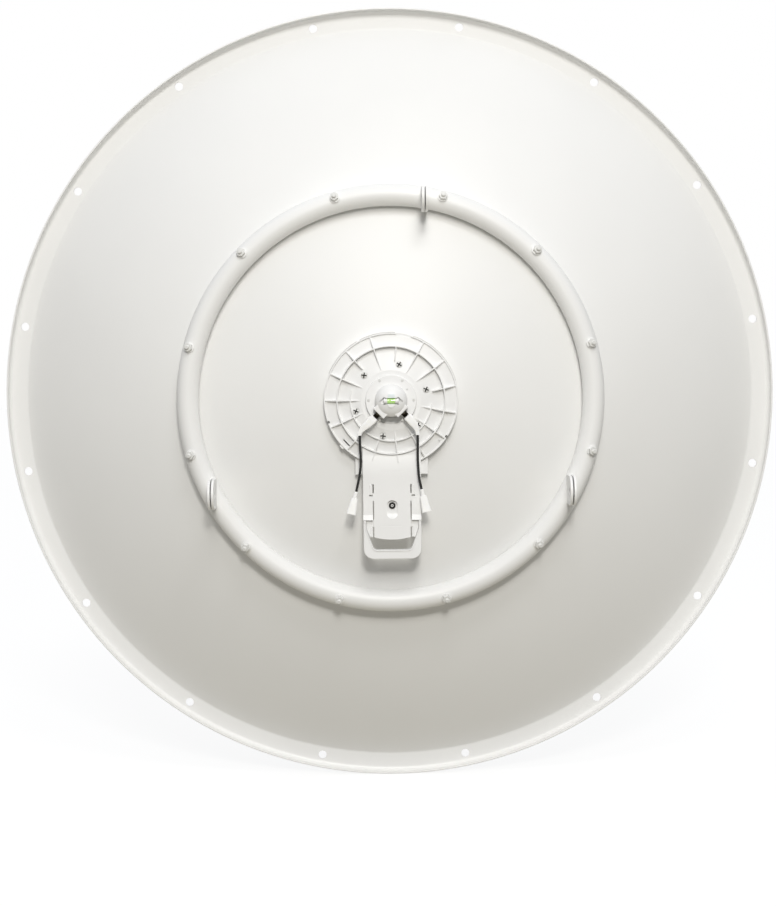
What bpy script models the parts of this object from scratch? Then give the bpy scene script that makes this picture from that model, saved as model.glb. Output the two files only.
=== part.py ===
"""Microwave dish antenna, seen from behind: a spun sheet reflector, a tube ring bolted to its
back, a ribbed hub plate with the rear end of the feed, a tray for a radio, and two jumper leads.

Metres, +Z up. The dish looks along +Y, so its back faces -Y. Every piece is placed in the
dish's own frame, with the vertex of the paraboloid at its origin, and hangs from one empty.
That empty puts the flat face of the top lug, where a pole bracket is bolted on, at the world
origin.
"""
import math

import bmesh
import bpy
from mathutils import Matrix, Vector

# Fit between pieces
GAP = 0.0003                    # air between two solids that touch on the real dish
SLACK = 0.0002                  # more air where two rings of different facets meet
FLAT_ENOUGH = 0.001             # radians that the corners of a face may leave its plane

# Reflector
RIM_RADIUS = 0.525              # the dish is 1.05 m across
CREASE_RADIUS = 0.4975          # where the bowl meets the flat flange
BOWL_DEPTH = 0.180              # from the vertex to the flange
SHEET = 0.0020                  # spun aluminium
LIP_DEPTH = 0.014               # the rim's lip turns back towards the rear
LIP_BEND = 0.006                # bend radius between flange and lip
CENTRE_HOLE_RADIUS = 0.030
RIM_HOLE_COUNT = 16
RIM_HOLE_RADIUS = 0.0055
RIM_HOLE_CIRCLE = 0.5095
TURN_STEPS = 48                 # facets round the reflector and the back ring

# Back ring
TUBE_RADIUS = 0.0143
TUBE_SIDES = 12
BOLT_COUNT = 12
BOLT_CIRCLE = 0.259             # where the tube touches the bowl
BOLT_RADIUS = 0.003
BOLT_HOLE_RADIUS = 0.0035
BOLT_HEAD_RADIUS = 0.0065
BOLT_HEAD_HEIGHT = 0.0034
NUT_FLANGE_RADIUS = 0.0071
NUT_FLANGE_HEIGHT = 0.0014
NUT_FLANGE_EDGE = 0.0007        # straight edge of the flange, below its slope
NUT_ACROSS_FLATS = 0.010
NUT_HEIGHT = 0.0062
STUD_LENGTH = 0.0030            # thread that stands past the nut

# Lugs on the back ring
LUG_WIDTH = 0.0080              # over both ears
LUG_SLOT = 0.0030               # between the ears
LUG_TIP_Y = -0.030
LUG_FOOT_Y = 0.027
LUG_HOLE_RADIUS = 0.0045
LUG_FORK_GAP = 0.006            # from the bottom of the slot to the tube
LUG_LAND = 0.006                # from the edge of the top lug's hole to the world origin
TOP_LUG = (0.0459, 0.2569, 0.031)        # x, z and height
SIDE_LUG = (0.2320, -0.1194, 0.038)

# Hub plate on the back of the bowl
HUB_RADIUS = 0.0864
HUB_BORE_RADIUS = 0.0225
HUB_FLAT_RADIUS = 0.0385        # inside this the cone is level with the ribs
HUB_TOP_Y = -0.018              # plane of the rib tops
HUB_WALL = 0.0025
HUB_RIM_Y = -0.0085             # outer edge of the cone
HUB_CREST_RIM_Y = -0.0118       # the spokes come down to this at the outer edge
HUB_SOCKET_WALL = 0.008         # wall of the socket round the feed tube
RIB_WIDTH = 0.0016
RIB_STAGGER = 0.00002           # each spoke is a hair lower than the one before it
RING_RIB_RADIUS = 0.0691        # full circle
PART_RIB_RADIUS = 0.0522        # a ring rib round the lower part only
PART_RIB_CLOCK = (95.0, 285.0)
SPOKE_COUNT = 15
SPOKE_START_DEG = 6.0
SHORT_SPOKE_RADIUS = 0.0540     # inner end of every fifth spoke
HUB_STEPS = 48

# Rear end of the feed
FEED_FLANGE_RADIUS = 0.0327
FEED_FLANGE_HEIGHT = 0.0045
DOME_RADIUS = 0.0206
DOME_WALL_HEIGHT = 0.007        # straight part under the dome
DOME_TIP_Y = -0.0445
VIAL_RADIUS = 0.0032
VIAL_LENGTH = 0.0196
VIAL_DEPTH_Y = -0.0410          # axis of the vial
VIAL_NOTCH_ROOM = 0.0052        # past either end of the vial
VIAL_NOTCH_HALF_HEIGHT = 0.0037
BOSS_HALF_WIDTH = 0.0092        # block with a flat face that carries a connector
BOSS_REAR_Y = -0.0372
FEED_STEPS = 24

# Connectors, their boots and the jumper leads
PORT_Y = -0.0305                # depth of the connector axes
PORT_START = {"left": 0.0232, "right": 0.0212}       # from the feed's axis to the boss face
CONNECTOR_RADIUS = 0.0040
CONNECTOR_LENGTH = 0.0062
BOOT_RADII = (0.0060, 0.0058, 0.0055, 0.0048, 0.0036, 0.0028)
BOOT_STRAIGHT = 0.0050          # the boot is straight this far past its connector
LEAD_RADIUS = 0.0016
LEAD_STEP = 0.0075
PLUG_NECK_RADIUS = 0.0025
PLUG_HEAD_RADIUS = 0.0042
PLUG_END_RADIUS = 0.0060
PLUG_NECK_LENGTH = 0.0090
PLUG_BODY_LENGTH = 0.0205

# Radio tray, its bracket and its handle
TRAY_HALF_WIDTH = 0.0372
TRAY_TOP_RADIUS = 0.0705        # the tray starts on this circle round the feed's axis
TRAY_END_Z = -0.1534
TRAY_REAR_Y = -0.0180
TRAY_PLATE = 0.0030
TRAY_WALL = 0.0025
TRAY_FRONT_Y = -0.0063
RAMP_HALF_WIDTH = 0.0247        # a ramp at either lower corner, from here to the tray's side
RAMP_START_Z = -0.1468
RAMP_REAR_Y = -0.0210
SHELF_REAR_Y = -0.0165          # the lower plate is a little sunk
SHELF_OUTLINE = ((0.0334, -0.1520), (0.0334, -0.1630), (0.0290, -0.1757), (0.0243, -0.1757))
TONGUE_HALF_WIDTH = 0.0243
TONGUE_END_Z = -0.1757
TONGUE_SAG = 0.0033             # how far the middle of its lower edge hangs
SCREW_Z = -0.1352
SCREW_SLOT_RADIUS = 0.0066
SCREW_SLOT_END_Z = -0.1442
SCREW_SEAT_DEPTH = 0.0037       # how deep the screw's slot is sunk in the plate
SLOT_WALL = 0.0016              # wall of the pocket round that slot
SLOT_FRONT_Y = -0.0120
SCREW_HEAD_RADIUS = 0.0046
SCREW_HEAD_HEIGHT = 0.0022
SCREW_SHANK_RADIUS = 0.0020
SCREW_HOLE_RADIUS = 0.0024
BRACKET_HALF_WIDTH = 0.0468
BRACKET_END_Z = -0.0957
BRACKET_REAR_Y = -0.0060
HANDLE_END_Z = -0.2039
HANDLE_CORNER = 0.013
HANDLE_REAR_Y = -0.0210
HANDLE_FRONT_Y = -0.0090
HANDLE_INSIDE = ((0.0340, -0.1632), (0.0296, -0.1760))    # inner edge of an arm, from its top
HANDLE_OPEN_END = (0.0254, -0.1919)
HANDLE_OPEN_CORNER = 0.006

# Front side of the feed
COLLAR_RADIUS = 0.060
COLLAR_FRONT_Y = 0.0100
FEED_TUBE_RADIUS = 0.022
FEED_TUBE_END_Y = 0.255
CONE_RADIUS = 0.068
CONE_END_Y = 0.318
CONE_FLARE = 1.4                # above 1 the cone widens faster towards its end
CAP_RADIUS = 0.072
CAP_END_Y = 0.331
EDGE_BEVEL = 0.003              # on the collar and the cap

FOCAL = CREASE_RADIUS ** 2 / (4 * BOWL_DEPTH)


def clear_scene():
    for obj in list(bpy.data.objects):
        bpy.data.objects.remove(obj, do_unlink=True)


def material(name, colour, roughness, metallic=0.0):
    made = bpy.data.materials.get(name) or bpy.data.materials.new(name)
    made.use_nodes = True
    shader = made.node_tree.nodes["Principled BSDF"]
    shader.inputs["Base Color"].default_value = (*colour, 1.0)
    shader.inputs["Roughness"].default_value = roughness
    shader.inputs["Metallic"].default_value = metallic
    return made


def white_paint():
    return material("white_powder_coat", (0.80, 0.80, 0.77), 0.42)


def white_plastic():
    return material("white_plastic", (0.82, 0.82, 0.79), 0.5)


def zinc():
    return material("zinc_plate", (0.62, 0.62, 0.60), 0.32, 1.0)


def add_object(name, bm, finish, smooth_deg=30.0):
    """Turn a bmesh into an object that hangs from the dish's frame."""
    bmesh.ops.recalc_face_normals(bm, faces=bm.faces)
    if bm.calc_volume(signed=True) < 0:
        bmesh.ops.reverse_faces(bm, faces=bm.faces)
    mesh = bpy.data.meshes.new(name)
    bm.to_mesh(mesh)
    bm.free()
    mesh.materials.append(finish)
    mesh.shade_smooth()
    mesh.set_sharp_from_angle(angle=math.radians(smooth_deg))
    obj = bpy.data.objects.new(name, mesh)
    bpy.context.collection.objects.link(obj)
    obj.parent = bpy.data.objects["dish_frame"]
    return obj


def add_cutter(name, bm):
    obj = add_object(name, bm, white_plastic())
    obj.hide_render = True
    obj.display_type = 'WIRE'
    return obj


def boolean(obj, cutter, operation='DIFFERENCE'):
    step = obj.modifiers.new(cutter.name, 'BOOLEAN')
    step.object = cutter
    step.operation = operation
    step.solver = 'EXACT'


def turned(outline, steps):
    """A solid of revolution about the dish's axis from a closed (radius, y) outline."""
    bm = bmesh.new()
    corners = [bm.verts.new((radius, y, 0.0)) for radius, y in outline]
    edges = [bm.edges.new((a, b)) for a, b in zip(corners, corners[1:] + corners[:1])]
    bmesh.ops.spin(bm, geom=corners + edges, axis=(0, 1, 0), cent=(0, 0, 0),
                   angle=math.tau, steps=steps, use_merge=True)
    bmesh.ops.remove_doubles(bm, verts=bm.verts, dist=1e-6)
    on_axis = [e for e in bm.edges if e.calc_length() < 1e-7 or not e.link_faces]
    bmesh.ops.delete(bm, geom=on_axis, context='EDGES')
    return bm


def prism(bm, outline, low, high, axis='Y'):
    """Extrude a closed outline along one axis; its corners are (x, z), or (y, z) for axis X."""
    if axis == 'Y':
        corners = [bm.verts.new((a, low, b)) for a, b in outline]
        travel = Vector((0, high - low, 0))
    else:
        corners = [bm.verts.new((low, a, b)) for a, b in outline]
        travel = Vector((high - low, 0, 0))
    face = bm.faces.new(corners)
    grown = bmesh.ops.extrude_face_region(bm, geom=[face])
    moved = [v for v in grown["geom"] if isinstance(v, bmesh.types.BMVert)]
    bmesh.ops.translate(bm, verts=moved, vec=travel)
    return bm


def box_outline(x_low, x_high, z_low, z_high):
    return [(x_low, z_low), (x_high, z_low), (x_high, z_high), (x_low, z_high)]


def arc(centre, radius, start_deg, end_deg, steps):
    """Points on an arc, both ends included."""
    points = []
    for i in range(steps + 1):
        angle = math.radians(start_deg + (end_deg - start_deg) * i / steps)
        points.append((centre[0] + radius * math.cos(angle),
                       centre[1] + radius * math.sin(angle)))
    return points


def rod(bm, start, end, radius, sides, end_radius=None):
    """A capped cylinder or cone between two points."""
    start, end = Vector(start), Vector(end)
    along = end - start
    place = Matrix.Translation((start + end) / 2) @ along.to_track_quat('Z', 'Y').to_matrix().to_4x4()
    bmesh.ops.create_cone(bm, cap_ends=True, segments=sides, radius1=radius,
                          radius2=radius if end_radius is None else end_radius,
                          depth=along.length, matrix=place)
    return bm


def lofted(rings):
    """A closed solid through rings of equal point count, capped at both ends."""
    bm = bmesh.new()
    loops = [[bm.verts.new(point) for point in ring] for ring in rings]
    for near, far in zip(loops, loops[1:]):
        for i in range(len(near)):
            bm.faces.new((near[i - 1], near[i], far[i], far[i - 1]))
    bm.faces.new(loops[0][::-1])
    bm.faces.new(loops[-1])
    return bm


def swept_rings(centres, radii, sides, sideways=Vector((0, 1, 0))):
    """Round rings square to a path that stays in one plane; sideways is that plane's normal."""
    rings = []
    for i, centre in enumerate(centres):
        ahead = centres[min(i + 1, len(centres) - 1)] - centres[max(i - 1, 0)]
        across = ahead.normalized().cross(sideways).normalized()
        ring = []
        for k in range(sides):
            angle = math.tau * k / sides
            ring.append(centre + radii[i] * (math.cos(angle) * across + math.sin(angle) * sideways))
        rings.append(ring)
    return rings


def smooth_path(points, steps):
    """Read a smooth curve through hand-set points, Catmull-Rom fashion."""
    points = [Vector(p) for p in points]
    padded = [2 * points[0] - points[1]] + points + [2 * points[-1] - points[-2]]
    path = []
    for i in range(1, len(padded) - 2):
        p0, p1, p2, p3 = padded[i - 1:i + 3]
        for k in range(steps):
            t = k / steps
            path.append(0.5 * (2 * p1 + (p2 - p0) * t + (2 * p0 - 5 * p1 + 4 * p2 - p3) * t ** 2
                               + (3 * p1 - p0 - 3 * p2 + p3) * t ** 3))
    path.append(points[-1])
    return path


def even_path(points, spacing):
    """The same smooth curve with a point about every spacing metres."""
    fine = smooth_path(points, 24)
    lengths = [0.0]
    for a, b in zip(fine, fine[1:]):
        lengths.append(lengths[-1] + (b - a).length)
    count = max(2, round(lengths[-1] / spacing))
    path, k = [], 0
    for i in range(count + 1):
        wanted = lengths[-1] * i / count
        while k < len(lengths) - 2 and lengths[k + 1] < wanted:
            k += 1
        share = (wanted - lengths[k]) / (lengths[k + 1] - lengths[k])
        path.append(fine[k].lerp(fine[k + 1], min(1.0, share)))
    return path


def polar(radius, y, clock_deg):
    """A point at a clock angle round the dish's axis, 0 at the top, growing to the viewer's right."""
    angle = math.radians(clock_deg)
    return Vector((radius * math.sin(angle), y, radius * math.cos(angle)))


def bowl_y(radius):
    """Middle of the sheet."""
    return radius ** 2 / (4 * FOCAL)


def bowl_tilt(radius):
    return math.atan(radius / (2 * FOCAL))


def off_bowl(radius, distance):
    """(radius, y) of a point a signed distance behind the middle of the sheet, square to it."""
    tilt = bowl_tilt(radius)
    return (radius + distance * math.sin(tilt), bowl_y(radius) - distance * math.cos(tilt))


TUBE_CENTRE = off_bowl(BOLT_CIRCLE, SHEET / 2 + GAP + TUBE_RADIUS)


def bolt_angles():
    return [180 / BOLT_COUNT + 360 / BOLT_COUNT * i for i in range(BOLT_COUNT)]


def bolt_point(distance, clock_deg):
    """A point on a bolt's axis, a signed distance behind the middle of the sheet."""
    radius, y = off_bowl(BOLT_CIRCLE, distance)
    return polar(radius, y, clock_deg)


def bowl_outline():
    """Closed outline of the spun bowl: out along its rear face, back along its front face."""
    inner = [CENTRE_HOLE_RADIUS + (BOLT_CIRCLE - CENTRE_HOLE_RADIUS) * i / 5 for i in range(5)]
    outer = [BOLT_CIRCLE + (CREASE_RADIUS - BOLT_CIRCLE) * i / 5 for i in range(5)]
    rear = [off_bowl(r, SHEET / 2) for r in inner + outer]
    front = [off_bowl(r, -SHEET / 2) for r in inner + outer]
    crease = bowl_y(CREASE_RADIUS)
    edge = CREASE_RADIUS - GAP
    rise = math.tan(bowl_tilt(CREASE_RADIUS)) * (GAP + SHEET / 6)
    rear.append((edge, crease - SHEET / 2 - rise))
    front.append((edge, crease + SHEET / 2))
    return rear + front[::-1]


def rim_outline():
    """Closed outline of the rim: a flat flange, a bend, and a lip that turns back."""
    crease = bowl_y(CREASE_RADIUS)
    bend = (RIM_RADIUS - SHEET - LIP_BEND, crease - SHEET / 2 - LIP_BEND)
    lip_end = crease - LIP_DEPTH
    rear = [(CREASE_RADIUS, crease - SHEET / 2)] + arc(bend, LIP_BEND, 90, 0, 3)
    front = [(CREASE_RADIUS, crease + SHEET / 2)] + arc(bend, LIP_BEND + SHEET, 90, 0, 3)
    return rear + [(RIM_RADIUS - SHEET, lip_end), (RIM_RADIUS, lip_end)] + front[::-1]


def build_reflector():
    reflector = add_object("reflector", turned(bowl_outline(), TURN_STEPS), white_paint(), 20)
    holes = bmesh.new()
    for clock in bolt_angles():
        rod(holes, bolt_point(-0.006, clock), bolt_point(0.006, clock), BOLT_HOLE_RADIUS, 8)
    boolean(reflector, add_cutter("cut_sheet_holes", holes))

    rim = add_object("reflector_rim", turned(rim_outline(), TURN_STEPS), white_paint(), 20)
    holes = bmesh.new()
    flange_y = bowl_y(CREASE_RADIUS)
    for i in range(RIM_HOLE_COUNT):
        clock = 360 / RIM_HOLE_COUNT * (i + 0.5)
        rod(holes, polar(RIM_HOLE_CIRCLE, flange_y - 0.004, clock),
            polar(RIM_HOLE_CIRCLE, flange_y + 0.004, clock), RIM_HOLE_RADIUS, 12)
    boolean(rim, add_cutter("cut_rim_holes", holes))


def tube_outline(radius):
    """Round section of the ring's tube, with one corner where it touches the bowl."""
    tilt_deg = math.degrees(bowl_tilt(BOLT_CIRCLE))
    start = 90 + tilt_deg
    return arc(TUBE_CENTRE, radius, start, start + 360 * (1 - 1 / TUBE_SIDES), TUBE_SIDES - 1)


def build_back_ring():
    ring = add_object("back_ring", turned(tube_outline(TUBE_RADIUS), TURN_STEPS), white_paint())
    holes = bmesh.new()
    for clock in bolt_angles():
        rod(holes, bolt_point(-0.010, clock), bolt_point(0.050, clock), BOLT_HOLE_RADIUS, 8)
    boolean(ring, add_cutter("cut_ring_holes", holes))


def lug_outline(height):
    """A plate with a round rear end, in the Y-Z plane about the lug's own middle."""
    radius = height / 2
    tip = arc((LUG_TIP_Y + radius, 0), radius, 270, 90, 12)
    return [(LUG_FOOT_Y, -radius)] + tip + [(LUG_FOOT_Y, radius)]


def build_lug(name, x, z, height, tube_cutter):
    """A forked lug: two ears with a slot between them, notched to sit on the ring's tube."""
    bm = prism(bmesh.new(), lug_outline(height), x - LUG_WIDTH / 2, x + LUG_WIDTH / 2, 'X')
    bmesh.ops.translate(bm, verts=bm.verts, vec=(0, 0, z))
    lug = add_object(name, bm, white_paint())
    hole_y = LUG_TIP_Y + height / 2
    cut = bmesh.new()
    rod(cut, (x - LUG_WIDTH, hole_y, z), (x + LUG_WIDTH, hole_y, z), LUG_HOLE_RADIUS, 14)
    boolean(lug, add_cutter("cut_hole_" + name, cut))
    slot_end = TUBE_CENTRE[1] - TUBE_RADIUS - LUG_FORK_GAP
    slot = box_outline(x - LUG_SLOT / 2, x + LUG_SLOT / 2, z - height, z + height)
    boolean(lug, add_cutter("cut_slot_" + name, prism(bmesh.new(), slot, LUG_TIP_Y - 0.01, slot_end)))
    boolean(lug, tube_cutter)


def build_lugs():
    tube = add_cutter("cut_tube", turned(tube_outline(TUBE_RADIUS + GAP), TURN_STEPS))
    build_lug("ring_lug_top", *TOP_LUG, tube)
    x, z, height = SIDE_LUG
    build_lug("ring_lug_left", -x, z, height, tube)
    build_lug("ring_lug_right", x, z, height, tube)


def bolt_ring(distance, radius, hexagon=False):
    """Twelve points round a bolt's local axis; a hexagon's flats have one point in their middle."""
    ring = []
    for k in range(12):
        reach = radius
        if hexagon and k % 2 == 0:
            reach = radius * math.cos(math.pi / 6)
        angle = math.tau * k / 12
        ring.append(Vector((reach * math.cos(angle), reach * math.sin(angle), distance)))
    return ring


def build_bolts():
    """Through bolts: a round head inside the bowl, a flanged hex nut behind the tube."""
    seat = -(SHEET / 2 + GAP)
    behind = SHEET / 2 + 2 * GAP + 2 * TUBE_RADIUS
    corner = NUT_ACROSS_FLATS / 2 / math.cos(math.pi / 6)
    rings = [
        bolt_ring(seat - BOLT_HEAD_HEIGHT, BOLT_HEAD_RADIUS * 0.6),
        bolt_ring(seat, BOLT_HEAD_RADIUS),
        bolt_ring(seat, BOLT_RADIUS),
        bolt_ring(behind, BOLT_RADIUS),
        bolt_ring(behind, NUT_FLANGE_RADIUS),
        bolt_ring(behind + NUT_FLANGE_EDGE, NUT_FLANGE_RADIUS),
        bolt_ring(behind + NUT_FLANGE_HEIGHT, corner, True),
        bolt_ring(behind + NUT_HEIGHT, corner, True),
        bolt_ring(behind + NUT_HEIGHT, BOLT_RADIUS),
        bolt_ring(behind + NUT_HEIGHT + STUD_LENGTH, BOLT_RADIUS * 0.85),
    ]
    for i, clock in enumerate(bolt_angles()):
        bm = lofted(rings)
        bmesh.ops.connect_verts_nonplanar(bm, angle_limit=FLAT_ENOUGH, faces=bm.faces[:])
        bolt = add_object(f"ring_bolt_{i + 1:02d}", bm, zinc())
        base = polar(BOLT_CIRCLE, bowl_y(BOLT_CIRCLE), clock)
        along = bolt_point(0.01, clock) - base
        bolt.location = base
        bolt.rotation_euler = along.to_track_quat('Z', 'X').to_euler()


def hub_cone_y(radius):
    """Rear face of the hub's cone, from the rib tops near the middle down to the rim."""
    share = (radius - HUB_FLAT_RADIUS) / (HUB_RADIUS - HUB_FLAT_RADIUS)
    return HUB_TOP_Y + (HUB_RIM_Y - HUB_TOP_Y) * min(1.0, max(0.0, share))


def hub_outline():
    """Cone with a ring rib on its rear face and a foot ring that stands on the bowl."""
    stand_off = SHEET / 2 + GAP
    socket = HUB_BORE_RADIUS + HUB_SOCKET_WALL
    points = [(HUB_BORE_RADIUS, HUB_TOP_Y), (HUB_FLAT_RADIUS, HUB_TOP_Y)]
    inside, outside = RING_RIB_RADIUS - RIB_WIDTH / 2, RING_RIB_RADIUS + RIB_WIDTH / 2
    points += [(inside, hub_cone_y(inside)), (inside, HUB_TOP_Y),
               (outside, HUB_TOP_Y), (outside, hub_cone_y(outside))]
    inner_foot = HUB_RADIUS - HUB_WALL
    points += [(HUB_RADIUS, hub_cone_y(HUB_RADIUS)), (HUB_RADIUS, off_bowl(HUB_RADIUS, stand_off)[1]),
               (inner_foot, off_bowl(inner_foot, stand_off)[1]),
               (inner_foot, hub_cone_y(inner_foot) + HUB_WALL),
               (HUB_FLAT_RADIUS, HUB_TOP_Y + HUB_WALL),
               (socket, HUB_TOP_Y + HUB_WALL), (socket, off_bowl(socket, stand_off)[1] - SLACK),
               (HUB_BORE_RADIUS, off_bowl(HUB_BORE_RADIUS, stand_off)[1] - SLACK)]
    return points


def build_hub_plate():
    hub = add_object("hub_plate", turned(hub_outline(), HUB_STEPS), white_plastic())
    outer = HUB_RADIUS - 0.0004
    for i in range(SPOKE_COUNT):
        clock = SPOKE_START_DEG + 360 / SPOKE_COUNT * i
        inner = SHORT_SPOKE_RADIUS if i % 5 == 3 else HUB_FLAT_RADIUS - 0.002
        end = RING_RIB_RADIUS if i == 0 else outer
        root = HUB_WALL / 2
        drop = RIB_STAGGER * (i + 1)
        knee = RING_RIB_RADIUS + RIB_WIDTH
        outline = [(HUB_TOP_Y + drop, inner), (HUB_TOP_Y + drop, min(knee, end))]
        if end > knee:
            outline.append((HUB_CREST_RIM_Y + drop, end))
        outline += [(hub_cone_y(end) + root, end), (hub_cone_y(inner) + root, inner)]
        spoke = prism(bmesh.new(), outline, -RIB_WIDTH / 2, RIB_WIDTH / 2, 'X')
        bmesh.ops.rotate(spoke, verts=spoke.verts, cent=(0, 0, 0),
                         matrix=Matrix.Rotation(math.radians(clock), 3, 'Y'))
        boolean(hub, add_cutter(f"rib_{i:02d}", spoke), 'UNION')
    start, end = (90 - clock for clock in PART_RIB_CLOCK)
    band = arc((0, 0), PART_RIB_RADIUS + RIB_WIDTH / 2, start, end, 24)
    band += arc((0, 0), PART_RIB_RADIUS - RIB_WIDTH / 2, end, start, 24)
    root = hub_cone_y(PART_RIB_RADIUS) + HUB_WALL / 2
    boolean(hub, add_cutter("rib_part_ring", prism(bmesh.new(), band, HUB_TOP_Y, root)), 'UNION')
    bay = add_cutter("cut_tray_bay", tray_bay(TRAY_HALF_WIDTH + GAP, TRAY_TOP_RADIUS - GAP))
    boolean(hub, bay)


def tray_bay(half_width, start_radius):
    """The space below a circle round the feed where the tray joins the hub plate."""
    side = math.degrees(math.asin(half_width / start_radius))
    outline = arc((0, 0), start_radius, 270 - side, 270 + side, 12)
    outline += [(half_width, -0.120), (-half_width, -0.120)]
    return prism(bmesh.new(), outline, -0.030, 0.012)


def build_feed_rear():
    flange_rear = HUB_TOP_Y - GAP - FEED_FLANGE_HEIGHT
    outline = [(0, HUB_TOP_Y - GAP), (FEED_FLANGE_RADIUS, HUB_TOP_Y - GAP),
               (FEED_FLANGE_RADIUS, flange_rear + 0.001), (FEED_FLANGE_RADIUS - 0.001, flange_rear),
               (0, flange_rear)]
    add_object("feed_flange", turned(outline, FEED_STEPS), white_plastic())

    base = flange_rear - GAP
    shoulder = base - DOME_WALL_HEIGHT
    crown = shoulder - DOME_TIP_Y
    outline = [(0, base), (DOME_RADIUS, base)]
    for i in range(6):
        angle = math.pi / 2 * i / 6
        outline.append((DOME_RADIUS * math.cos(angle), shoulder - crown * math.sin(angle)))
    outline.append((0, DOME_TIP_Y))
    dome = add_object("feed_dome", turned(outline, FEED_STEPS), white_plastic())
    for side, turn_deg in (("left", -45), ("right", 45)):
        block = box_outline(-BOSS_HALF_WIDTH, BOSS_HALF_WIDTH, -PORT_START[side], 0)
        boss = prism(bmesh.new(), block, BOSS_REAR_Y, base - SLACK)
        bmesh.ops.rotate(boss, verts=boss.verts, cent=(0, 0, 0),
                         matrix=Matrix.Rotation(math.radians(-turn_deg), 3, 'Y'))
        boolean(dome, add_cutter("boss_" + side, boss), 'UNION')
    half_notch = VIAL_LENGTH / 2 + VIAL_NOTCH_ROOM
    notch = box_outline(-half_notch, half_notch, -VIAL_NOTCH_HALF_HEIGHT, VIAL_NOTCH_HALF_HEIGHT)
    notch_floor = VIAL_DEPTH_Y + VIAL_RADIUS + GAP
    boolean(dome, add_cutter("cut_vial_notch",
                             prism(bmesh.new(), notch, DOME_TIP_Y - 0.01, notch_floor)))

    vial = bmesh.new()
    rod(vial, (-VIAL_LENGTH / 2, VIAL_DEPTH_Y, 0), (VIAL_LENGTH / 2, VIAL_DEPTH_Y, 0), VIAL_RADIUS, 12)
    add_object("level_vial", vial, material("vial_green", (0.45, 0.85, 0.25), 0.1))


# Hand-set routes. A boot runs out at 45 degrees from its connector and turns down; the lead
# hangs from it, and leans outwards at its lower end, where a boot covers its plug.
BOOT_ROUTES = {
    "left": [(-0.0290, PORT_Y, -0.0286), (-0.0358, PORT_Y, -0.0346),
             (-0.0403, PORT_Y, -0.0405), (-0.0404, PORT_Y, -0.0440)],
    "right": [(0.0274, PORT_Y, -0.0286), (0.0311, PORT_Y, -0.0342),
              (0.0331, PORT_Y, -0.0402), (0.0332, PORT_Y, -0.0440)],
}
LEAD_ROUTES = {
    "left": [(-0.0404, -0.0305, -0.0443), (-0.0404, -0.0303, -0.0510), (-0.0401, -0.0300, -0.0590),
             (-0.0396, -0.0296, -0.0680), (-0.0395, -0.0291, -0.0770), (-0.0400, -0.0286, -0.0860),
             (-0.0413, -0.0281, -0.0950), (-0.0433, -0.0276, -0.1050), (-0.0458, -0.0272, -0.1157)],
    "right": [(0.0332, -0.0305, -0.0443), (0.0333, -0.0303, -0.0510), (0.0333, -0.0300, -0.0590),
              (0.0332, -0.0296, -0.0680), (0.0333, -0.0291, -0.0770), (0.0337, -0.0286, -0.0860),
              (0.0343, -0.0281, -0.0950), (0.0356, -0.0276, -0.1040), (0.0376, -0.0272, -0.1134)],
}


def connector_ends(side):
    """Where a connector leaves its boss, and where it goes into its boot."""
    along = Vector((-1 if side == "left" else 1, 0, -1)).normalized()
    face = along * (PORT_START[side] + GAP) + Vector((0, PORT_Y, 0))
    return face, face + along * CONNECTOR_LENGTH, along


def build_connectors():
    for side in ("left", "right"):
        face, end, along = connector_ends(side)
        bm = rod(bmesh.new(), face, end, CONNECTOR_RADIUS, 12)
        add_object("connector_" + side, bm, material("gold_plate", (0.55, 0.42, 0.20), 0.3, 1.0))
        path = [end + along * GAP, end + along * BOOT_STRAIGHT]
        path += [Vector(p) for p in BOOT_ROUTES[side]]
        boot = lofted(swept_rings(path, BOOT_RADII, 12))
        add_object("connector_boot_" + side, boot, white_plastic())


def build_leads():
    for side in ("left", "right"):
        route = even_path(LEAD_ROUTES[side], LEAD_STEP)
        curve = bpy.data.curves.new("jumper_" + side, 'CURVE')
        curve.dimensions = '3D'
        curve.bevel_depth = LEAD_RADIUS
        curve.bevel_resolution = 2
        curve.use_fill_caps = True
        curve.render_resolution_u = 0
        spline = curve.splines.new('POLY')
        spline.points.add(len(route) - 1)
        for corner, point in zip(spline.points, route):
            corner.co = (*point, 1.0)
        curve.materials.append(material("black_jacket", (0.02, 0.02, 0.02), 0.5))
        lead = bpy.data.objects.new("jumper_" + side, curve)
        bpy.context.collection.objects.link(lead)
        lead.parent = bpy.data.objects["dish_frame"]

        along = (route[-1] - route[-2]).normalized()
        start = route[-1] + along * GAP
        down = Vector((along.x, along.y * 0.3, along.z)).normalized()
        lengths = (0.0, PLUG_NECK_LENGTH * 0.85, PLUG_NECK_LENGTH, PLUG_NECK_LENGTH + PLUG_BODY_LENGTH)
        radii = (PLUG_NECK_RADIUS * 0.9, PLUG_NECK_RADIUS, PLUG_HEAD_RADIUS, PLUG_END_RADIUS)
        path = [start + down * distance for distance in lengths]
        plug = lofted(swept_rings(path, radii, 12))
        add_object("jumper_boot_" + side, plug, white_plastic())


def tongue_edge(steps):
    """Curved lower edge of the tray's tongue, from right to left."""
    points = []
    for i in range(steps + 1):
        share = 1 - 2 * i / steps
        points.append((TONGUE_HALF_WIDTH * share, TONGUE_END_Z - TONGUE_SAG * (1 - share ** 2)))
    return points


def screw_slot(radius):
    """Outline of the slot that the tray's screw sits in, or of the wall round it."""
    outline = arc((0, SCREW_Z), radius, 0, 180, 8)
    return outline + arc((0, SCREW_SLOT_END_Z), radius, 180, 360, 8)


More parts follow.
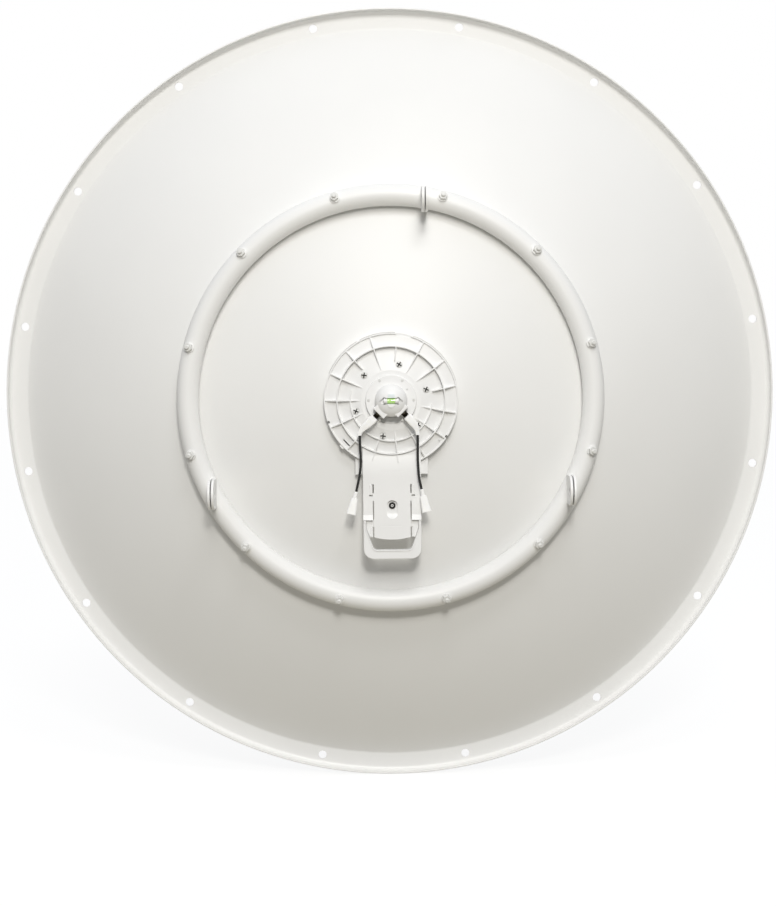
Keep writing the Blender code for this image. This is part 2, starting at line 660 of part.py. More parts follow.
def build_tray():
    half = TRAY_HALF_WIDTH
    side = math.degrees(math.asin(half / TRAY_TOP_RADIUS))
    outline = arc((0, 0), TRAY_TOP_RADIUS, 270 + side, 270 - side, 12)
    outline += [(-half, TRAY_END_Z), (half, TRAY_END_Z)]
    tray = add_object("radio_tray", prism(bmesh.new(), outline, TRAY_REAR_Y, TRAY_FRONT_Y),
                      white_plastic())
    back = TRAY_REAR_Y + TRAY_PLATE
    inner = half - TRAY_WALL
    hollow = box_outline(-inner, inner, TRAY_END_Z + TRAY_WALL, -TRAY_TOP_RADIUS - TRAY_WALL)
    boolean(tray, add_cutter("cut_tray_hollow", prism(bmesh.new(), hollow, back, TRAY_FRONT_Y + 0.01)))

    shelf = list(SHELF_OUTLINE) + [(-x, z) for x, z in reversed(SHELF_OUTLINE)]
    boolean(tray, add_cutter("tray_shelf", prism(bmesh.new(), shelf, SHELF_REAR_Y,
                                                 SHELF_REAR_Y + TRAY_PLATE)), 'UNION')
    tongue = [(TONGUE_HALF_WIDTH, SHELF_OUTLINE[0][1])] + tongue_edge(8)
    tongue.append((-TONGUE_HALF_WIDTH, SHELF_OUTLINE[0][1]))
    boolean(tray, add_cutter("tray_tongue", prism(bmesh.new(), tongue, TRAY_REAR_Y, back)), 'UNION')
    root = TRAY_REAR_Y + TRAY_PLATE / 2
    ramp = [(root, RAMP_START_Z), (TRAY_REAR_Y, RAMP_START_Z), (RAMP_REAR_Y, TRAY_END_Z),
            (root, TRAY_END_Z)]
    for name, low, high in (("left", -half, -RAMP_HALF_WIDTH), ("right", RAMP_HALF_WIDTH, half)):
        boolean(tray, add_cutter("tray_ramp_" + name, prism(bmesh.new(), ramp, low, high, 'X')), 'UNION')

    seat = TRAY_REAR_Y + SCREW_SEAT_DEPTH
    pocket = prism(bmesh.new(), screw_slot(SCREW_SLOT_RADIUS + SLOT_WALL), root, SLOT_FRONT_Y)
    boolean(tray, add_cutter("tray_pocket", pocket), 'UNION')
    slot = prism(bmesh.new(), screw_slot(SCREW_SLOT_RADIUS), TRAY_REAR_Y - 0.005, seat)
    boolean(tray, add_cutter("cut_screw_slot", slot))
    shank = bmesh.new()
    rod(shank, (0, TRAY_REAR_Y - 0.01, SCREW_Z), (0, TRAY_REAR_Y + 0.01, SCREW_Z), SCREW_HOLE_RADIUS, 10)
    boolean(tray, add_cutter("cut_screw_hole", shank))

    under = seat - GAP
    crown = under - SCREW_HEAD_HEIGHT
    tip = SLOT_FRONT_Y
    outline = [(0, crown), (SCREW_HEAD_RADIUS * 0.65, crown),
               (SCREW_HEAD_RADIUS, crown + SCREW_HEAD_HEIGHT * 0.35), (SCREW_HEAD_RADIUS, under),
               (SCREW_SHANK_RADIUS, under), (SCREW_SHANK_RADIUS, tip), (0, tip)]
    screw = turned(outline, 12)
    bmesh.ops.translate(screw, verts=screw.verts, vec=(0, 0, SCREW_Z))
    add_object("tray_screw", screw, zinc())


def build_bracket():
    """A stiff plate under the tray that stands on the bowl just below the hub plate."""
    half = BRACKET_HALF_WIDTH
    reach = HUB_RADIUS + GAP
    side = math.degrees(math.asin(half / reach))
    outline = arc((0, 0), reach, 270 + side, 270 - side, 14)
    outline += [(-half, BRACKET_END_Z), (half, BRACKET_END_Z)]
    foot_y = off_bowl(HUB_RADIUS, SHEET / 2 + GAP)[1] - SLACK
    add_object("tray_bracket", prism(bmesh.new(), outline, BRACKET_REAR_Y, foot_y), white_plastic())


def build_handle():
    """The loop below the tray: two arms beside its lower plate and a bar across the bottom."""
    half = TRAY_HALF_WIDTH
    start = TRAY_END_Z - GAP
    top_x = HANDLE_INSIDE[0][0]
    corner = (half - HANDLE_CORNER, HANDLE_END_Z + HANDLE_CORNER)
    right = [(top_x, start), (half, start)] + arc(corner, HANDLE_CORNER, 0, -90, 6)
    left = [(-x, z) for x, z in reversed(right)]
    end_x, end_z = HANDLE_OPEN_END
    bend = arc((end_x - HANDLE_OPEN_CORNER, end_z + HANDLE_OPEN_CORNER), HANDLE_OPEN_CORNER, -15, -90, 4)
    inside = list(HANDLE_INSIDE) + bend
    outline = right + left + [(-x, z) for x, z in inside] + inside[::-1]
    add_object("tray_handle", prism(bmesh.new(), outline, HANDLE_REAR_Y, HANDLE_FRONT_Y), white_plastic())


def build_feed_front():
    """The side that looks along the beam: collar, tube, cone and the cap that is the sub-reflector."""
    clear = SHEET / 2 + GAP
    bore = FEED_TUBE_RADIUS + GAP + SLACK
    radii = [bore + (COLLAR_RADIUS - bore) * i / 3 for i in range(4)]
    outline = [(r, off_bowl(r, -clear)[1] + SLACK) for r in radii]
    outline += [(COLLAR_RADIUS, COLLAR_FRONT_Y - EDGE_BEVEL),
                (COLLAR_RADIUS - EDGE_BEVEL, COLLAR_FRONT_Y), (bore, COLLAR_FRONT_Y)]
    add_object("front_collar", turned(outline, FEED_STEPS), white_plastic())

    start = HUB_TOP_Y + 2 * GAP
    outline = [(0, start), (FEED_TUBE_RADIUS, start), (FEED_TUBE_RADIUS, FEED_TUBE_END_Y),
               (0, FEED_TUBE_END_Y)]
    add_object("feed_tube", turned(outline, FEED_STEPS), white_plastic())

    base = FEED_TUBE_END_Y + GAP
    outline = [(0, base), (FEED_TUBE_RADIUS, base)]
    for i in range(1, 7):
        share = i / 6
        outline.append((FEED_TUBE_RADIUS + (CONE_RADIUS - FEED_TUBE_RADIUS) * share ** CONE_FLARE,
                        base + (CONE_END_Y - base) * share))
    outline.append((0, CONE_END_Y))
    add_object("feed_cone", turned(outline, FEED_STEPS), white_plastic())

    base = CONE_END_Y + GAP
    outline = [(0, base), (CAP_RADIUS, base), (CAP_RADIUS, CAP_END_Y - EDGE_BEVEL),
               (CAP_RADIUS - EDGE_BEVEL, CAP_END_Y), (0, CAP_END_Y)]
    add_object("sub_reflector", turned(outline, FEED_STEPS), white_paint())


def place_frame():
    """Put the outer face of the top lug at the world origin, beside its bolt hole."""
    x, z, height = TOP_LUG
    mount_y = LUG_TIP_Y + height / 2 + LUG_HOLE_RADIUS + LUG_LAND
    frame = bpy.data.objects["dish_frame"]
    frame.location = (-(x + LUG_WIDTH / 2), -mount_y, -z)


def main():
    clear_scene()
    frame = bpy.data.objects.new("dish_frame", None)
    bpy.context.collection.objects.link(frame)
    build_reflector()
    build_back_ring()
    build_lugs()
    build_bolts()
    build_hub_plate()
    build_feed_rear()
    build_connectors()
    build_leads()
    build_bracket()
    build_tray()
    build_handle()
    build_feed_front()
    place_frame()
    bpy.context.view_layer.update()


main()
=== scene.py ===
"""A microwave dish antenna seen from behind: spun reflector, tube ring, ribbed hub, radio tray
and feed, dressed over its packed frame.

Every piece is drawn in the dish's own directions. The dish's vertex is DISH in the row frame,
-Y is the side that the back ring is on, and clock angles grow to the right of someone who
looks at that back.
"""
import math
import random

import bpy
from mathutils import Matrix, Vector


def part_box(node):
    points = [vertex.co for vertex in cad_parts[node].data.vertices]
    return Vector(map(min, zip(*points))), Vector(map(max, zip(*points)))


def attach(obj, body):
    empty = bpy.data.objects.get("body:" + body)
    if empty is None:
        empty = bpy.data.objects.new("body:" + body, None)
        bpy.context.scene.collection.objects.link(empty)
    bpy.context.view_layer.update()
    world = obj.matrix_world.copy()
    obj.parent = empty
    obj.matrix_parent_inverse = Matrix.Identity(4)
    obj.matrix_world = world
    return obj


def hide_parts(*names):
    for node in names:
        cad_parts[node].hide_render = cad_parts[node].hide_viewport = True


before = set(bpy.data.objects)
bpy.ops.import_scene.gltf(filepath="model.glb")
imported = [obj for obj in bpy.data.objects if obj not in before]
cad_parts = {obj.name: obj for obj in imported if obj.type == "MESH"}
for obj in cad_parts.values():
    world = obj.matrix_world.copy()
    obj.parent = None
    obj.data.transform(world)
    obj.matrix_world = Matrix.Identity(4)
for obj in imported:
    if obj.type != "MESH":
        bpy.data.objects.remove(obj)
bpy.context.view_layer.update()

bl_info = {
    "name": "Microwave Dish Antenna",
    "version": (1, 0, 0),
    "blender": (4, 5, 0),
    "location": "View3D > Sidebar > Dish",
    "description": "Builds a round microwave dish antenna with its hub, feed, tray and leads",
    "category": "Add Mesh",
}

REFLECTOR_LOW, REFLECTOR_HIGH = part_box("reflector_rim")
RIM_RADIUS = (REFLECTOR_HIGH[0] - REFLECTOR_LOW[0]) / 2
FLANGE_DEPTH = 0.180        # from the bowl's vertex to the middle of its flange
SHEET = 0.0020              # thickness of the bowl
CLEARANCE = 0.0003          # between two pieces that meet
DISH = Vector(((REFLECTOR_LOW[0] + REFLECTOR_HIGH[0]) / 2, REFLECTOR_HIGH[1] - FLANGE_DEPTH - SHEET / 2,
               (REFLECTOR_LOW[2] + REFLECTOR_HIGH[2]) / 2))
CREASE_RADIUS = 0.4975      # where the bowl bends into its flange
FOCAL = CREASE_RADIUS ** 2 / (4 * FLANGE_DEPTH)
BACKWARDS = Vector((0, -1, 0))
OUTSIDE = -0.030            # behind hub, disc and tray, where the tools that cut them start
SCREW_STEP = 60             # degrees between the six screws of the hub, the disc and the collar


# Places on the dish

def place(x, y, z):
    """A point of the dish in the row frame."""
    return DISH + Vector((x, y, z))


def polar(radius, y, clock):
    """A point of the dish at a clock angle."""
    angle = math.radians(clock)
    return Vector((radius * math.sin(angle), y, radius * math.cos(angle)))


def bowl_y(radius):
    """The middle of the sheet at a radius of the bowl."""
    return radius ** 2 / (4 * FOCAL)


def off_bowl(radius, distance):
    """(radius, y) a signed distance behind the middle of the sheet, square to it."""
    tilt = math.atan(radius / (2 * FOCAL))
    return radius + distance * math.sin(tilt), bowl_y(radius) - distance * math.cos(tilt)


def behind_bowl(radius):
    """Where a piece that sits on the bowl's back ends."""
    return off_bowl(radius, SHEET / 2 + CLEARANCE)[1]


def turn(clock):
    """A turn round the dish's axis."""
    return (Matrix.Translation(DISH) @ Matrix.Rotation(math.radians(clock), 4, 'Y')
            @ Matrix.Translation(-DISH))


def arc(centre, radius, start, end, steps):
    """Points on a circle, between two angles in degrees."""
    points = []
    for i in range(steps + 1):
        angle = math.radians(start + (end - start) * i / steps)
        points.append((centre[0] + radius * math.cos(angle), centre[1] + radius * math.sin(angle)))
    return points


def oblong(x0, z0, x1, z1):
    """The outline of a box."""
    return [(x0, z0), (x1, z0), (x1, z1), (x0, z1)]


def rounded(corners, steps=4):
    """A closed outline whose corners are rounded by the third value of each."""
    points = []
    for i, corner in enumerate(corners):
        here = Vector(corner[:2])
        radius = corner[2] if len(corner) > 2 else 0
        if not radius:
            points.append(tuple(here))
            continue
        before = (Vector(corners[i - 1][:2]) - here).normalized()
        after = (Vector(corners[(i + 1) % len(corners)][:2]) - here).normalized()
        half = before.angle(after) / 2
        centre = here + (before + after).normalized() * (radius / math.sin(half))
        first = here + before * (radius / math.tan(half)) - centre
        last = here + after * (radius / math.tan(half)) - centre
        for k in range(steps + 1):
            share = k / steps
            points.append(tuple(centre + (first * (1 - share) + last * share).normalized() * radius))
    return points


def smooth_path(points, count):
    """Evenly spaced points on a smooth curve through given ones."""
    points = [Vector(p) for p in points]
    padded = [2 * points[0] - points[1]] + points + [2 * points[-1] - points[-2]]
    fine = []
    for i in range(1, len(padded) - 2):
        p0, p1, p2, p3 = padded[i - 1:i + 3]
        for k in range(24):
            t = k / 24
            fine.append(0.5 * (2 * p1 + (p2 - p0) * t + (2 * p0 - 5 * p1 + 4 * p2 - p3) * t ** 2
                               + (3 * p1 - p0 - 3 * p2 + p3) * t ** 3))
    fine.append(points[-1])
    lengths = [0.0]
    for a, b in zip(fine, fine[1:]):
        lengths.append(lengths[-1] + (b - a).length)
    path, k = [], 0
    for i in range(count):
        wanted = lengths[-1] * i / (count - 1)
        while k < len(lengths) - 2 and lengths[k + 1] < wanted:
            k += 1
        share = (wanted - lengths[k]) / (lengths[k + 1] - lengths[k])
        path.append(fine[k].lerp(fine[k + 1], min(1.0, share)))
    return path


# Modelling by hand

def bare():
    """Object mode, with nothing selected."""
    if bpy.context.object and bpy.context.object.mode != 'OBJECT':
        bpy.ops.object.mode_set(mode='OBJECT')
    bpy.ops.object.select_all(action='DESELECT')


def take(*pieces):
    """Selects pieces alone, the first of them active."""
    bare()
    for piece in pieces:
        piece.select_set(True)
    bpy.context.view_layer.objects.active = pieces[0]


def edit(piece):
    """Edit mode, with the whole piece selected."""
    take(piece)
    bpy.ops.object.mode_set(mode='EDIT')
    bpy.ops.mesh.select_all(action='SELECT')


def close_seams(piece):
    """Merge doubles, then point the faces outwards."""
    edit(piece)
    bpy.ops.mesh.remove_doubles(threshold=1e-6)
    bpy.ops.mesh.normals_make_consistent(inside=False)
    bpy.ops.object.mode_set(mode='OBJECT')


def sketch(name, points, closed=True):
    """A line drawn point by point, left in edit mode."""
    bare()
    bpy.ops.mesh.primitive_plane_add(size=0.001, location=place(*points[0]))
    piece = bpy.context.object
    piece.name = piece.data.name = name
    bpy.ops.object.mode_set(mode='EDIT')
    bpy.ops.mesh.select_mode(type='VERT')
    bpy.ops.mesh.merge(type='CENTER')
    here = Vector(points[0])
    for point in list(points[1:]) + ([points[0]] if closed else []):
        bpy.ops.mesh.extrude_vertices_move(TRANSFORM_OT_translate={"value": Vector(point) - here})
        here = Vector(point)
    bpy.ops.mesh.select_all(action='SELECT')
    if closed:
        bpy.ops.mesh.remove_doubles(threshold=1e-6)
    return piece


def plate(name, outline, low, high, axis='Y'):
    """A flat outline, filled and given its thickness along an axis."""
    if axis == 'Y':
        points, along = [(a, low, b) for a, b in outline], (0, high - low, 0)
    elif axis == 'X':
        points, along = [(low, a, b) for a, b in outline], (high - low, 0, 0)
    else:
        points, along = [(a, b, low) for a, b in outline], (0, 0, high - low)
    piece = sketch(name, points)
    bpy.ops.mesh.edge_face_add()
    bpy.ops.mesh.extrude_region_move(TRANSFORM_OT_translate={"value": along})
    bpy.ops.object.mode_set(mode='OBJECT')
    close_seams(piece)
    return piece


def turned(name, outline, steps, foot=(0, 0, 0), axis=(0, 1, 0), closed=True):
    """An outline of (radius, distance along the axis), spun round that axis."""
    foot, axis = Vector(foot), Vector(axis).normalized()
    across = axis.orthogonal().normalized()
    piece = sketch(name, [foot + across * r + axis * d for r, d in outline], closed)
    bpy.ops.mesh.spin(steps=steps, angle=math.tau, center=DISH + foot, axis=axis)
    bpy.ops.object.mode_set(mode='OBJECT')
    close_seams(piece)
    return piece


def peg(name, start, end, radius, sides=24):
    """A round bar between two points of the dish."""
    start, end = Vector(start), Vector(end)
    bare()
    bpy.ops.mesh.primitive_cylinder_add(
        vertices=sides, radius=radius, depth=(end - start).length, location=place(*((start + end) / 2)),
        rotation=(end - start).to_track_quat('Z', 'Y').to_euler())
    piece = bpy.context.object
    piece.name = piece.data.name = name
    return piece


def apply(piece, kind, **settings):
    """Adds a modifier and applies it."""
    take(piece)
    bpy.ops.object.modifier_add(type=kind)
    modifier = piece.modifiers[-1]
    for key, value in settings.items():
        setattr(modifier, key, value)
    bpy.ops.object.modifier_apply(modifier=modifier.name)


def discard(*pieces):
    """Deletes pieces that were only needed on the way."""
    take(*pieces)
    bpy.ops.object.delete()


def join(*pieces, name=None):
    """Makes one piece of several, under a new name or the first one's."""
    if len(pieces) > 1:
        take(*pieces)
        bpy.ops.object.join()
    if name:
        pieces[0].name = name
    return pieces[0]


def combine(piece, tools, operation='DIFFERENCE'):
    """Cuts the tools out of a piece, or grows it by them."""
    for tool in tools:
        apply(piece, 'BOOLEAN', object=tool, operation=operation, solver='EXACT')
        discard(tool)


def soften(piece, width, segments=2, angle=30):
    """Rounds the edges that are sharper than an angle."""
    apply(piece, 'BEVEL', width=width, segments=segments, limit_method='ANGLE',
          angle_limit=math.radians(angle), harden_normals=False)


def shift(piece, matrix):
    """Moves a piece by a matrix of the row frame."""
    piece.matrix_world = matrix @ piece.matrix_world
    settle(piece)
    return piece


def copy_of(piece, name, matrix):
    """A copy with its own mesh, moved by a matrix of the row frame."""
    take(piece)
    bpy.ops.object.duplicate(linked=False)
    twin = bpy.context.object
    twin.name = twin.data.name = name
    return shift(twin, matrix)


def settle(piece):
    """Puts the piece's origin at the world origin, unturned and unscaled."""
    take(piece)
    bpy.ops.object.transform_apply(location=True, rotation=True, scale=True)


def finish_piece(piece, finish, nodes=(), angle=35):
    """Settles a piece, shades it, gives it its finish and ties it to the frame."""
    settle(piece)
    if piece.type == 'MESH':
        close_seams(piece)
        take(piece)
        bpy.ops.object.shade_smooth_by_angle(angle=math.radians(angle))
        apply(piece, 'WEIGHTED_NORMAL', keep_sharp=True)
    piece.data.materials.clear()
    piece.data.materials.append(bpy.context.scene.dish_finishes.get_finish(finish))
    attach(piece, "root")
    if nodes:
        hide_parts(*nodes)
    bare()
    return piece


# Finishes

class Value:
    """A socket of a finish that can be used in sums."""

    def __init__(self, finish, socket):
        self.finish, self.socket = finish, socket

    def sum(self, operation, *values):
        return self.finish.node('ShaderNodeMath', {"operation": operation}, dict(enumerate(values)))

    def __add__(self, other):
        return self.sum('ADD', self, other)

    __radd__ = __add__

    def __mul__(self, other):
        return self.sum('MULTIPLY', self, other)

    __rmul__ = __mul__


class Finish:
    """The nodes of one material, or of the world's light."""

    def __init__(self, owner):
        owner.use_nodes = True
        self.nodes, self.links = owner.node_tree.nodes, owner.node_tree.links
        self.owner = owner

    def node(self, kind, settings=None, inputs=None, output=0):
        """One node: its settings first, then its sockets' values and links."""
        made = self.nodes.new(kind)
        for key, value in (settings or {}).items():
            if key == "stops":
                ramp = made.color_ramp
                while len(ramp.elements) < len(value):
                    ramp.elements.new(1.0)
                for stop, (position, colour) in zip(ramp.elements, value):
                    stop.position, stop.color = position, (*colour, 1.0)
            else:
                setattr(made, key, value)
        self.feed(made, inputs or {})
        return Value(self, made.outputs[output])

    def feed(self, made, inputs):
        """Sets or links the sockets of a node."""
        for key, value in inputs.items():
            if isinstance(value, Value):
                self.links.new(value.socket, made.inputs[key])
            else:
                made.inputs[key].default_value = value

    def blend(self, factor, a, b):
        """A colour between two."""
        return self.node('ShaderNodeMix', {"data_type": 'RGBA'}, {0: factor, 6: (*a, 1.0), 7: (*b, 1.0)}, 2)

    def noise(self, here, scale, detail=2.0, roughness=0.5):
        """A grey pattern; a larger scale is finer."""
        return self.node('ShaderNodeTexNoise', None, {"Vector": here, "Scale": scale, "Detail": detail,
                                                      "Roughness": roughness})

    def bump(self, height, strength, distance):
        """A normal that follows a height."""
        return self.node('ShaderNodeBump', None, {"Height": height, "Strength": strength,
                                                  "Distance": distance})


def shade(colour, factor):
    """A colour made darker or lighter, and never more than white."""
    return tuple(min(1.0, c * factor) for c in colour)


def new_finish(name):
    """A material with its principled shader, and where a point is on the piece."""
    material = bpy.data.materials.new(name)
    finish = Finish(material)
    shader = finish.nodes["Principled BSDF"]
    here = finish.node('ShaderNodeTexCoord', output=3)
    return finish, shader, here


def powder_coat(name, colour):
    """White powder coat: fine orange peel, faint clouds in tone and gloss."""
    finish, shader, here = new_finish(name)
    cloud = finish.noise(here, 7.0, 3.0)
    fleck = finish.noise(here, 900.0, 2.0)
    peel = finish.noise(here, 420.0, 2.0, 0.6)
    tone = finish.blend(cloud * 0.75 + fleck * 0.25, shade(colour, 0.965), shade(colour, 1.03))
    finish.feed(shader, {"Base Color": tone, "Roughness": 0.34 + cloud * 0.16,
                         "Normal": finish.bump(peel, 0.10, 0.0004)})
    shader.inputs["IOR"].default_value = 1.46
    return finish.owner


def moulded_plastic(name, colour):
    """White moulded plastic with a fine spark-eroded grain."""
    finish, shader, here = new_finish(name)
    cloud = finish.noise(here, 30.0, 2.0)
    grain = finish.noise(here, 2600.0, 2.0, 0.6)
    tone = finish.blend(cloud, shade(colour, 0.98), shade(colour, 1.02))
    finish.feed(shader, {"Base Color": tone, "Roughness": 0.36 + grain * 0.14,
                         "Normal": finish.bump(grain, 0.12, 0.0001)})
    shader.inputs["IOR"].default_value = 1.49
    return finish.owner


def plated_metal(name, colour, rough):
    """Plated steel or brass: cloudy, with fine tool marks."""
    finish, shader, here = new_finish(name)
    cloud = finish.noise(here, 260.0, 3.0)
    along = finish.node('ShaderNodeMapping', None, {"Vector": here, "Scale": (900, 6000, 900)})
    marks = finish.noise(along, 1.0, 2.0)
    tone = finish.blend(cloud, shade(colour, 0.72), colour)
    finish.feed(shader, {"Base Color": tone, "Roughness": rough + cloud * 0.15, "Metallic": 1.0,
                         "Normal": finish.bump(marks, 0.15, 0.00005)})
    return finish.owner


def milky_rubber_and_painted_glow(name, colour):
    """Soft half-clear plastic of the boots, with a faint painted glow that brightens them."""
    finish, shader, here = new_finish(name)
    cloud = finish.noise(here, 160.0, 3.0)
    tone = finish.blend(cloud, shade(colour, 0.94), colour)
    finish.feed(shader, {"Base Color": tone, "Roughness": 0.30 + cloud * 0.2,
                         "Emission Color": tone,
                         "Normal": finish.bump(finish.noise(here, 900.0), 0.1, 0.0002)})
    # Painted glow: this faint emission brightens the boots as light coming through them would.
    shader.inputs["Emission Strength"].default_value = 0.06
    shader.inputs["Subsurface Weight"].default_value = 0.25
    shader.inputs["Subsurface Radius"].default_value = (0.004, 0.004, 0.0036)
    shader.inputs["Subsurface Scale"].default_value = 1.0
    return finish.owner


def cable_jacket(name, colour):
    """Black cable jacket with a faint sheen."""
    finish, shader, here = new_finish(name)
    wear = finish.noise(here, 500.0, 3.0)
    tone = finish.blend(wear, shade(colour, 0.7), shade(colour, 1.5))
    finish.feed(shader, {"Base Color": tone, "Roughness": 0.42 + wear * 0.2,
                         "Normal": finish.bump(finish.noise(here, 3000.0), 0.1, 0.0001)})
    return finish.owner


def matt_dark_and_painted_shade(name, colour):
    """Matt, clouded dark colour of the tray's screw head, and of painted shade in the hub screws' recesses
    and along the top of the hub's rim.
    """
    finish, shader, here = new_finish(name)
    cloud = finish.noise(here, 300.0, 3.0)
    tone = finish.blend(cloud, shade(colour, 0.85), colour)
    finish.feed(shader, {"Base Color": tone, "Roughness": 0.7 + cloud * 0.2,
                         "Normal": finish.bump(finish.noise(here, 1500.0), 0.1, 0.0001)})
    return finish.owner


def vial_fluid_and_painted_glow(name, colour):
    """Yellow-green fluid behind a clear wall, with a faint painted glow that brightens it and the bubble.
    """
    finish, shader, here = new_finish(name)
    swirl = finish.noise(here, 700.0, 2.0)
    tone = finish.blend(swirl, shade(colour, 0.8), colour)
    finish.feed(shader, {"Base Color": tone, "Roughness": 0.05 + swirl * 0.08, "Emission Color": tone})
    # Painted glow: this emission brightens the fluid and the bubble as light through the glass would.
    shader.inputs["Emission Strength"].default_value = 0.18
    shader.inputs["Coat Weight"].default_value = 1.0
    shader.inputs["Coat Roughness"].default_value = 0.03
    return finish.owner


def tint(name, description, default):
    """A colour that a user can change."""
    return bpy.props.FloatVectorProperty(name=name, description=description, subtype='COLOR', size=3,
                                         min=0, max=1, default=default)


class DishFinishes(bpy.types.PropertyGroup):
    """Colours of the dish's finishes."""
    paint: tint("Paint", "Powder coat of the metal parts", (0.86, 0.86, 0.85))
    plastic: tint("Plastic", "Moulded parts of hub, tray and feed", (0.86, 0.86, 0.855))
    boot: tint("Boots", "Milky boots on connectors and plugs", (0.93, 0.93, 0.92))
    jacket: tint("Lead jacket", "Jacket of the thin leads", (0.012, 0.012, 0.011))
    fluid: tint("Level fluid", "Fluid in the bubble level", (0.50, 0.80, 0.26))

    def get_finish(self, name):
        """The material of that name, made when it is first asked for."""
        maker, *values = {
            "white_powder_coat": (powder_coat, self.paint),
            "white_moulding": (moulded_plastic, self.plastic),
            "zinc_plate": (plated_metal, (0.72, 0.72, 0.70), 0.26),
            "pale_zinc": (moulded_plastic, (0.74, 0.74, 0.72)),
            # Near black: the tray's screw head, and the bars of painted shade in the hub screws' cross
            # recesses.
            "black_recess": (matt_dark_and_painted_shade, (0.03, 0.03, 0.028)),
            # Grey strips of painted shade round the top of the hub's rim; no real seal.
            "grey_seal": (matt_dark_and_painted_shade, (0.60, 0.60, 0.58)),
            "gold_thread": (plated_metal, (0.085, 0.075, 0.055), 0.38),
            "milky_boot": (milky_rubber_and_painted_glow, self.boot),
            "black_jacket": (cable_jacket, self.jacket),
            "level_fluid": (vial_fluid_and_painted_glow, self.fluid),
            "level_bubble": (vial_fluid_and_painted_glow, (0.72, 0.92, 0.50)),
            "level_window": (moulded_plastic, (0.80, 0.86, 0.88)),
        }[name]
        return bpy.data.materials.get(name) or maker(name, *values)


def metres(name, description, default):
    """A length that a user can change."""
    return bpy.props.FloatProperty(name=name, description=description, default=default, unit='LENGTH')


# Reflector

class ReflectorSizes(bpy.types.PropertyGroup):
    """Sizes of the spun reflector."""
    steps: bpy.props.IntProperty(name="Facets", description="Facets round the bowl", default=192, min=48)
    lip_depth: metres("Lip", "How far the rim's lip turns back", 0.014)
    lip_bend: metres("Lip bend", "Bend between flange and lip", 0.006)
    centre_hole: metres("Centre hole", "Radius of the hole for the feed", 0.030)
    hole_count: bpy.props.IntProperty(name="Rim holes", description="Holes through the flange", default=16)
    hole_radius: metres("Rim hole radius", "Radius of each flange hole", 0.0056)
    hole_circle: metres("Rim hole circle", "Radius that the holes lie on", 0.5095)


class DISH_OT_reflector(bpy.types.Operator):
    """Spin the bowl with its flange and lip, and drill the flange"""
    bl_idname = "dish.reflector"
    bl_label = "Reflector"

    def execute(self, context):
        sizes = context.scene.dish_reflector
        crease, half = FLANGE_DEPTH, SHEET / 2
        rings = 26
        radii = [sizes.centre_hole + (CREASE_RADIUS - sizes.centre_hole) * i / rings for i in range(rings)]
        rear = [off_bowl(r, half) for r in radii]
        front = [off_bowl(r, -half) for r in radii]
        lip_end, lip_edge, crease_bend = crease - sizes.lip_depth, 0.0007, 0.006
        corners = rear + [
            (CREASE_RADIUS + SHEET / 6, crease - half, crease_bend),
            (RIM_RADIUS - SHEET, crease - half, sizes.lip_bend),
            (RIM_RADIUS - SHEET, lip_end, lip_edge),
            (RIM_RADIUS, lip_end, lip_edge),
            (RIM_RADIUS, crease + half, sizes.lip_bend + SHEET),
            (CREASE_RADIUS - SHEET / 6, crease + half, crease_bend)] + front[::-1]
        bowl = turned("dish_sheet", rounded(corners, 6), sizes.steps)
        drills = []
        for i in range(sizes.hole_count):
            clock = 360 / sizes.hole_count * (i + 0.5)
            drills.append(peg("drill", polar(sizes.hole_circle, crease - 0.006, clock),
                              polar(sizes.hole_circle, crease + 0.006, clock), sizes.hole_radius, 24))
        combine(bowl, [join(*drills)])
        finish_piece(bowl, "white_powder_coat", ["reflector", "reflector_rim"], 40)
        return {'FINISHED'}


# Back ring, lugs and bolts

class RingSizes(bpy.types.PropertyGroup):
    """Sizes of the tube ring, its lugs and its bolts."""
    tube_radius: metres("Tube radius", "Radius of the ring's tube", 0.0143)
    contact_radius: metres("Seat radius", "Where the tube sits on the bowl", 0.259)
    steps: bpy.props.IntProperty(name="Facets", description="Facets round the ring", default=192, min=48)
    bolt_count: bpy.props.IntProperty(name="Bolts", description="Bolts round the ring", default=12)
    ear_width: metres("Lug width", "Over both ears of a lug", 0.008)
    ear_slot: metres("Lug slot", "Between the ears of a lug", 0.0016)


def tube_centre(sizes):
    """(radius, y) of the middle of the ring's tube."""
    return off_bowl(sizes.contact_radius, SHEET / 2 + CLEARANCE + sizes.tube_radius)


class DISH_OT_back_ring(bpy.types.Operator):
    """Bend the round tube into the ring on the back of the bowl"""
    bl_idname = "dish.back_ring"
    bl_label = "Back ring"

    def execute(self, context):
        sizes = context.scene.dish_ring
        tube = arc(tube_centre(sizes), sizes.tube_radius, 0, 360 * 39 / 40, 39)
        ring = turned("tube_ring", tube, sizes.steps)
        finish_piece(ring, "white_powder_coat", ["back_ring"])
        return {'FINISHED'}


# Middle x and z of each lug, and its height
LUGS = {"ring_lug_top": (0.0459, 0.2569, 0.031), "ring_lug_left": (-0.2320, -0.1194, 0.038),
        "ring_lug_right": (0.2320, -0.1194, 0.038)}
LUG_TIP_Y = -0.030
LUG_FOOT_Y = 0.027
LUG_HOLE_RADIUS = 0.0045


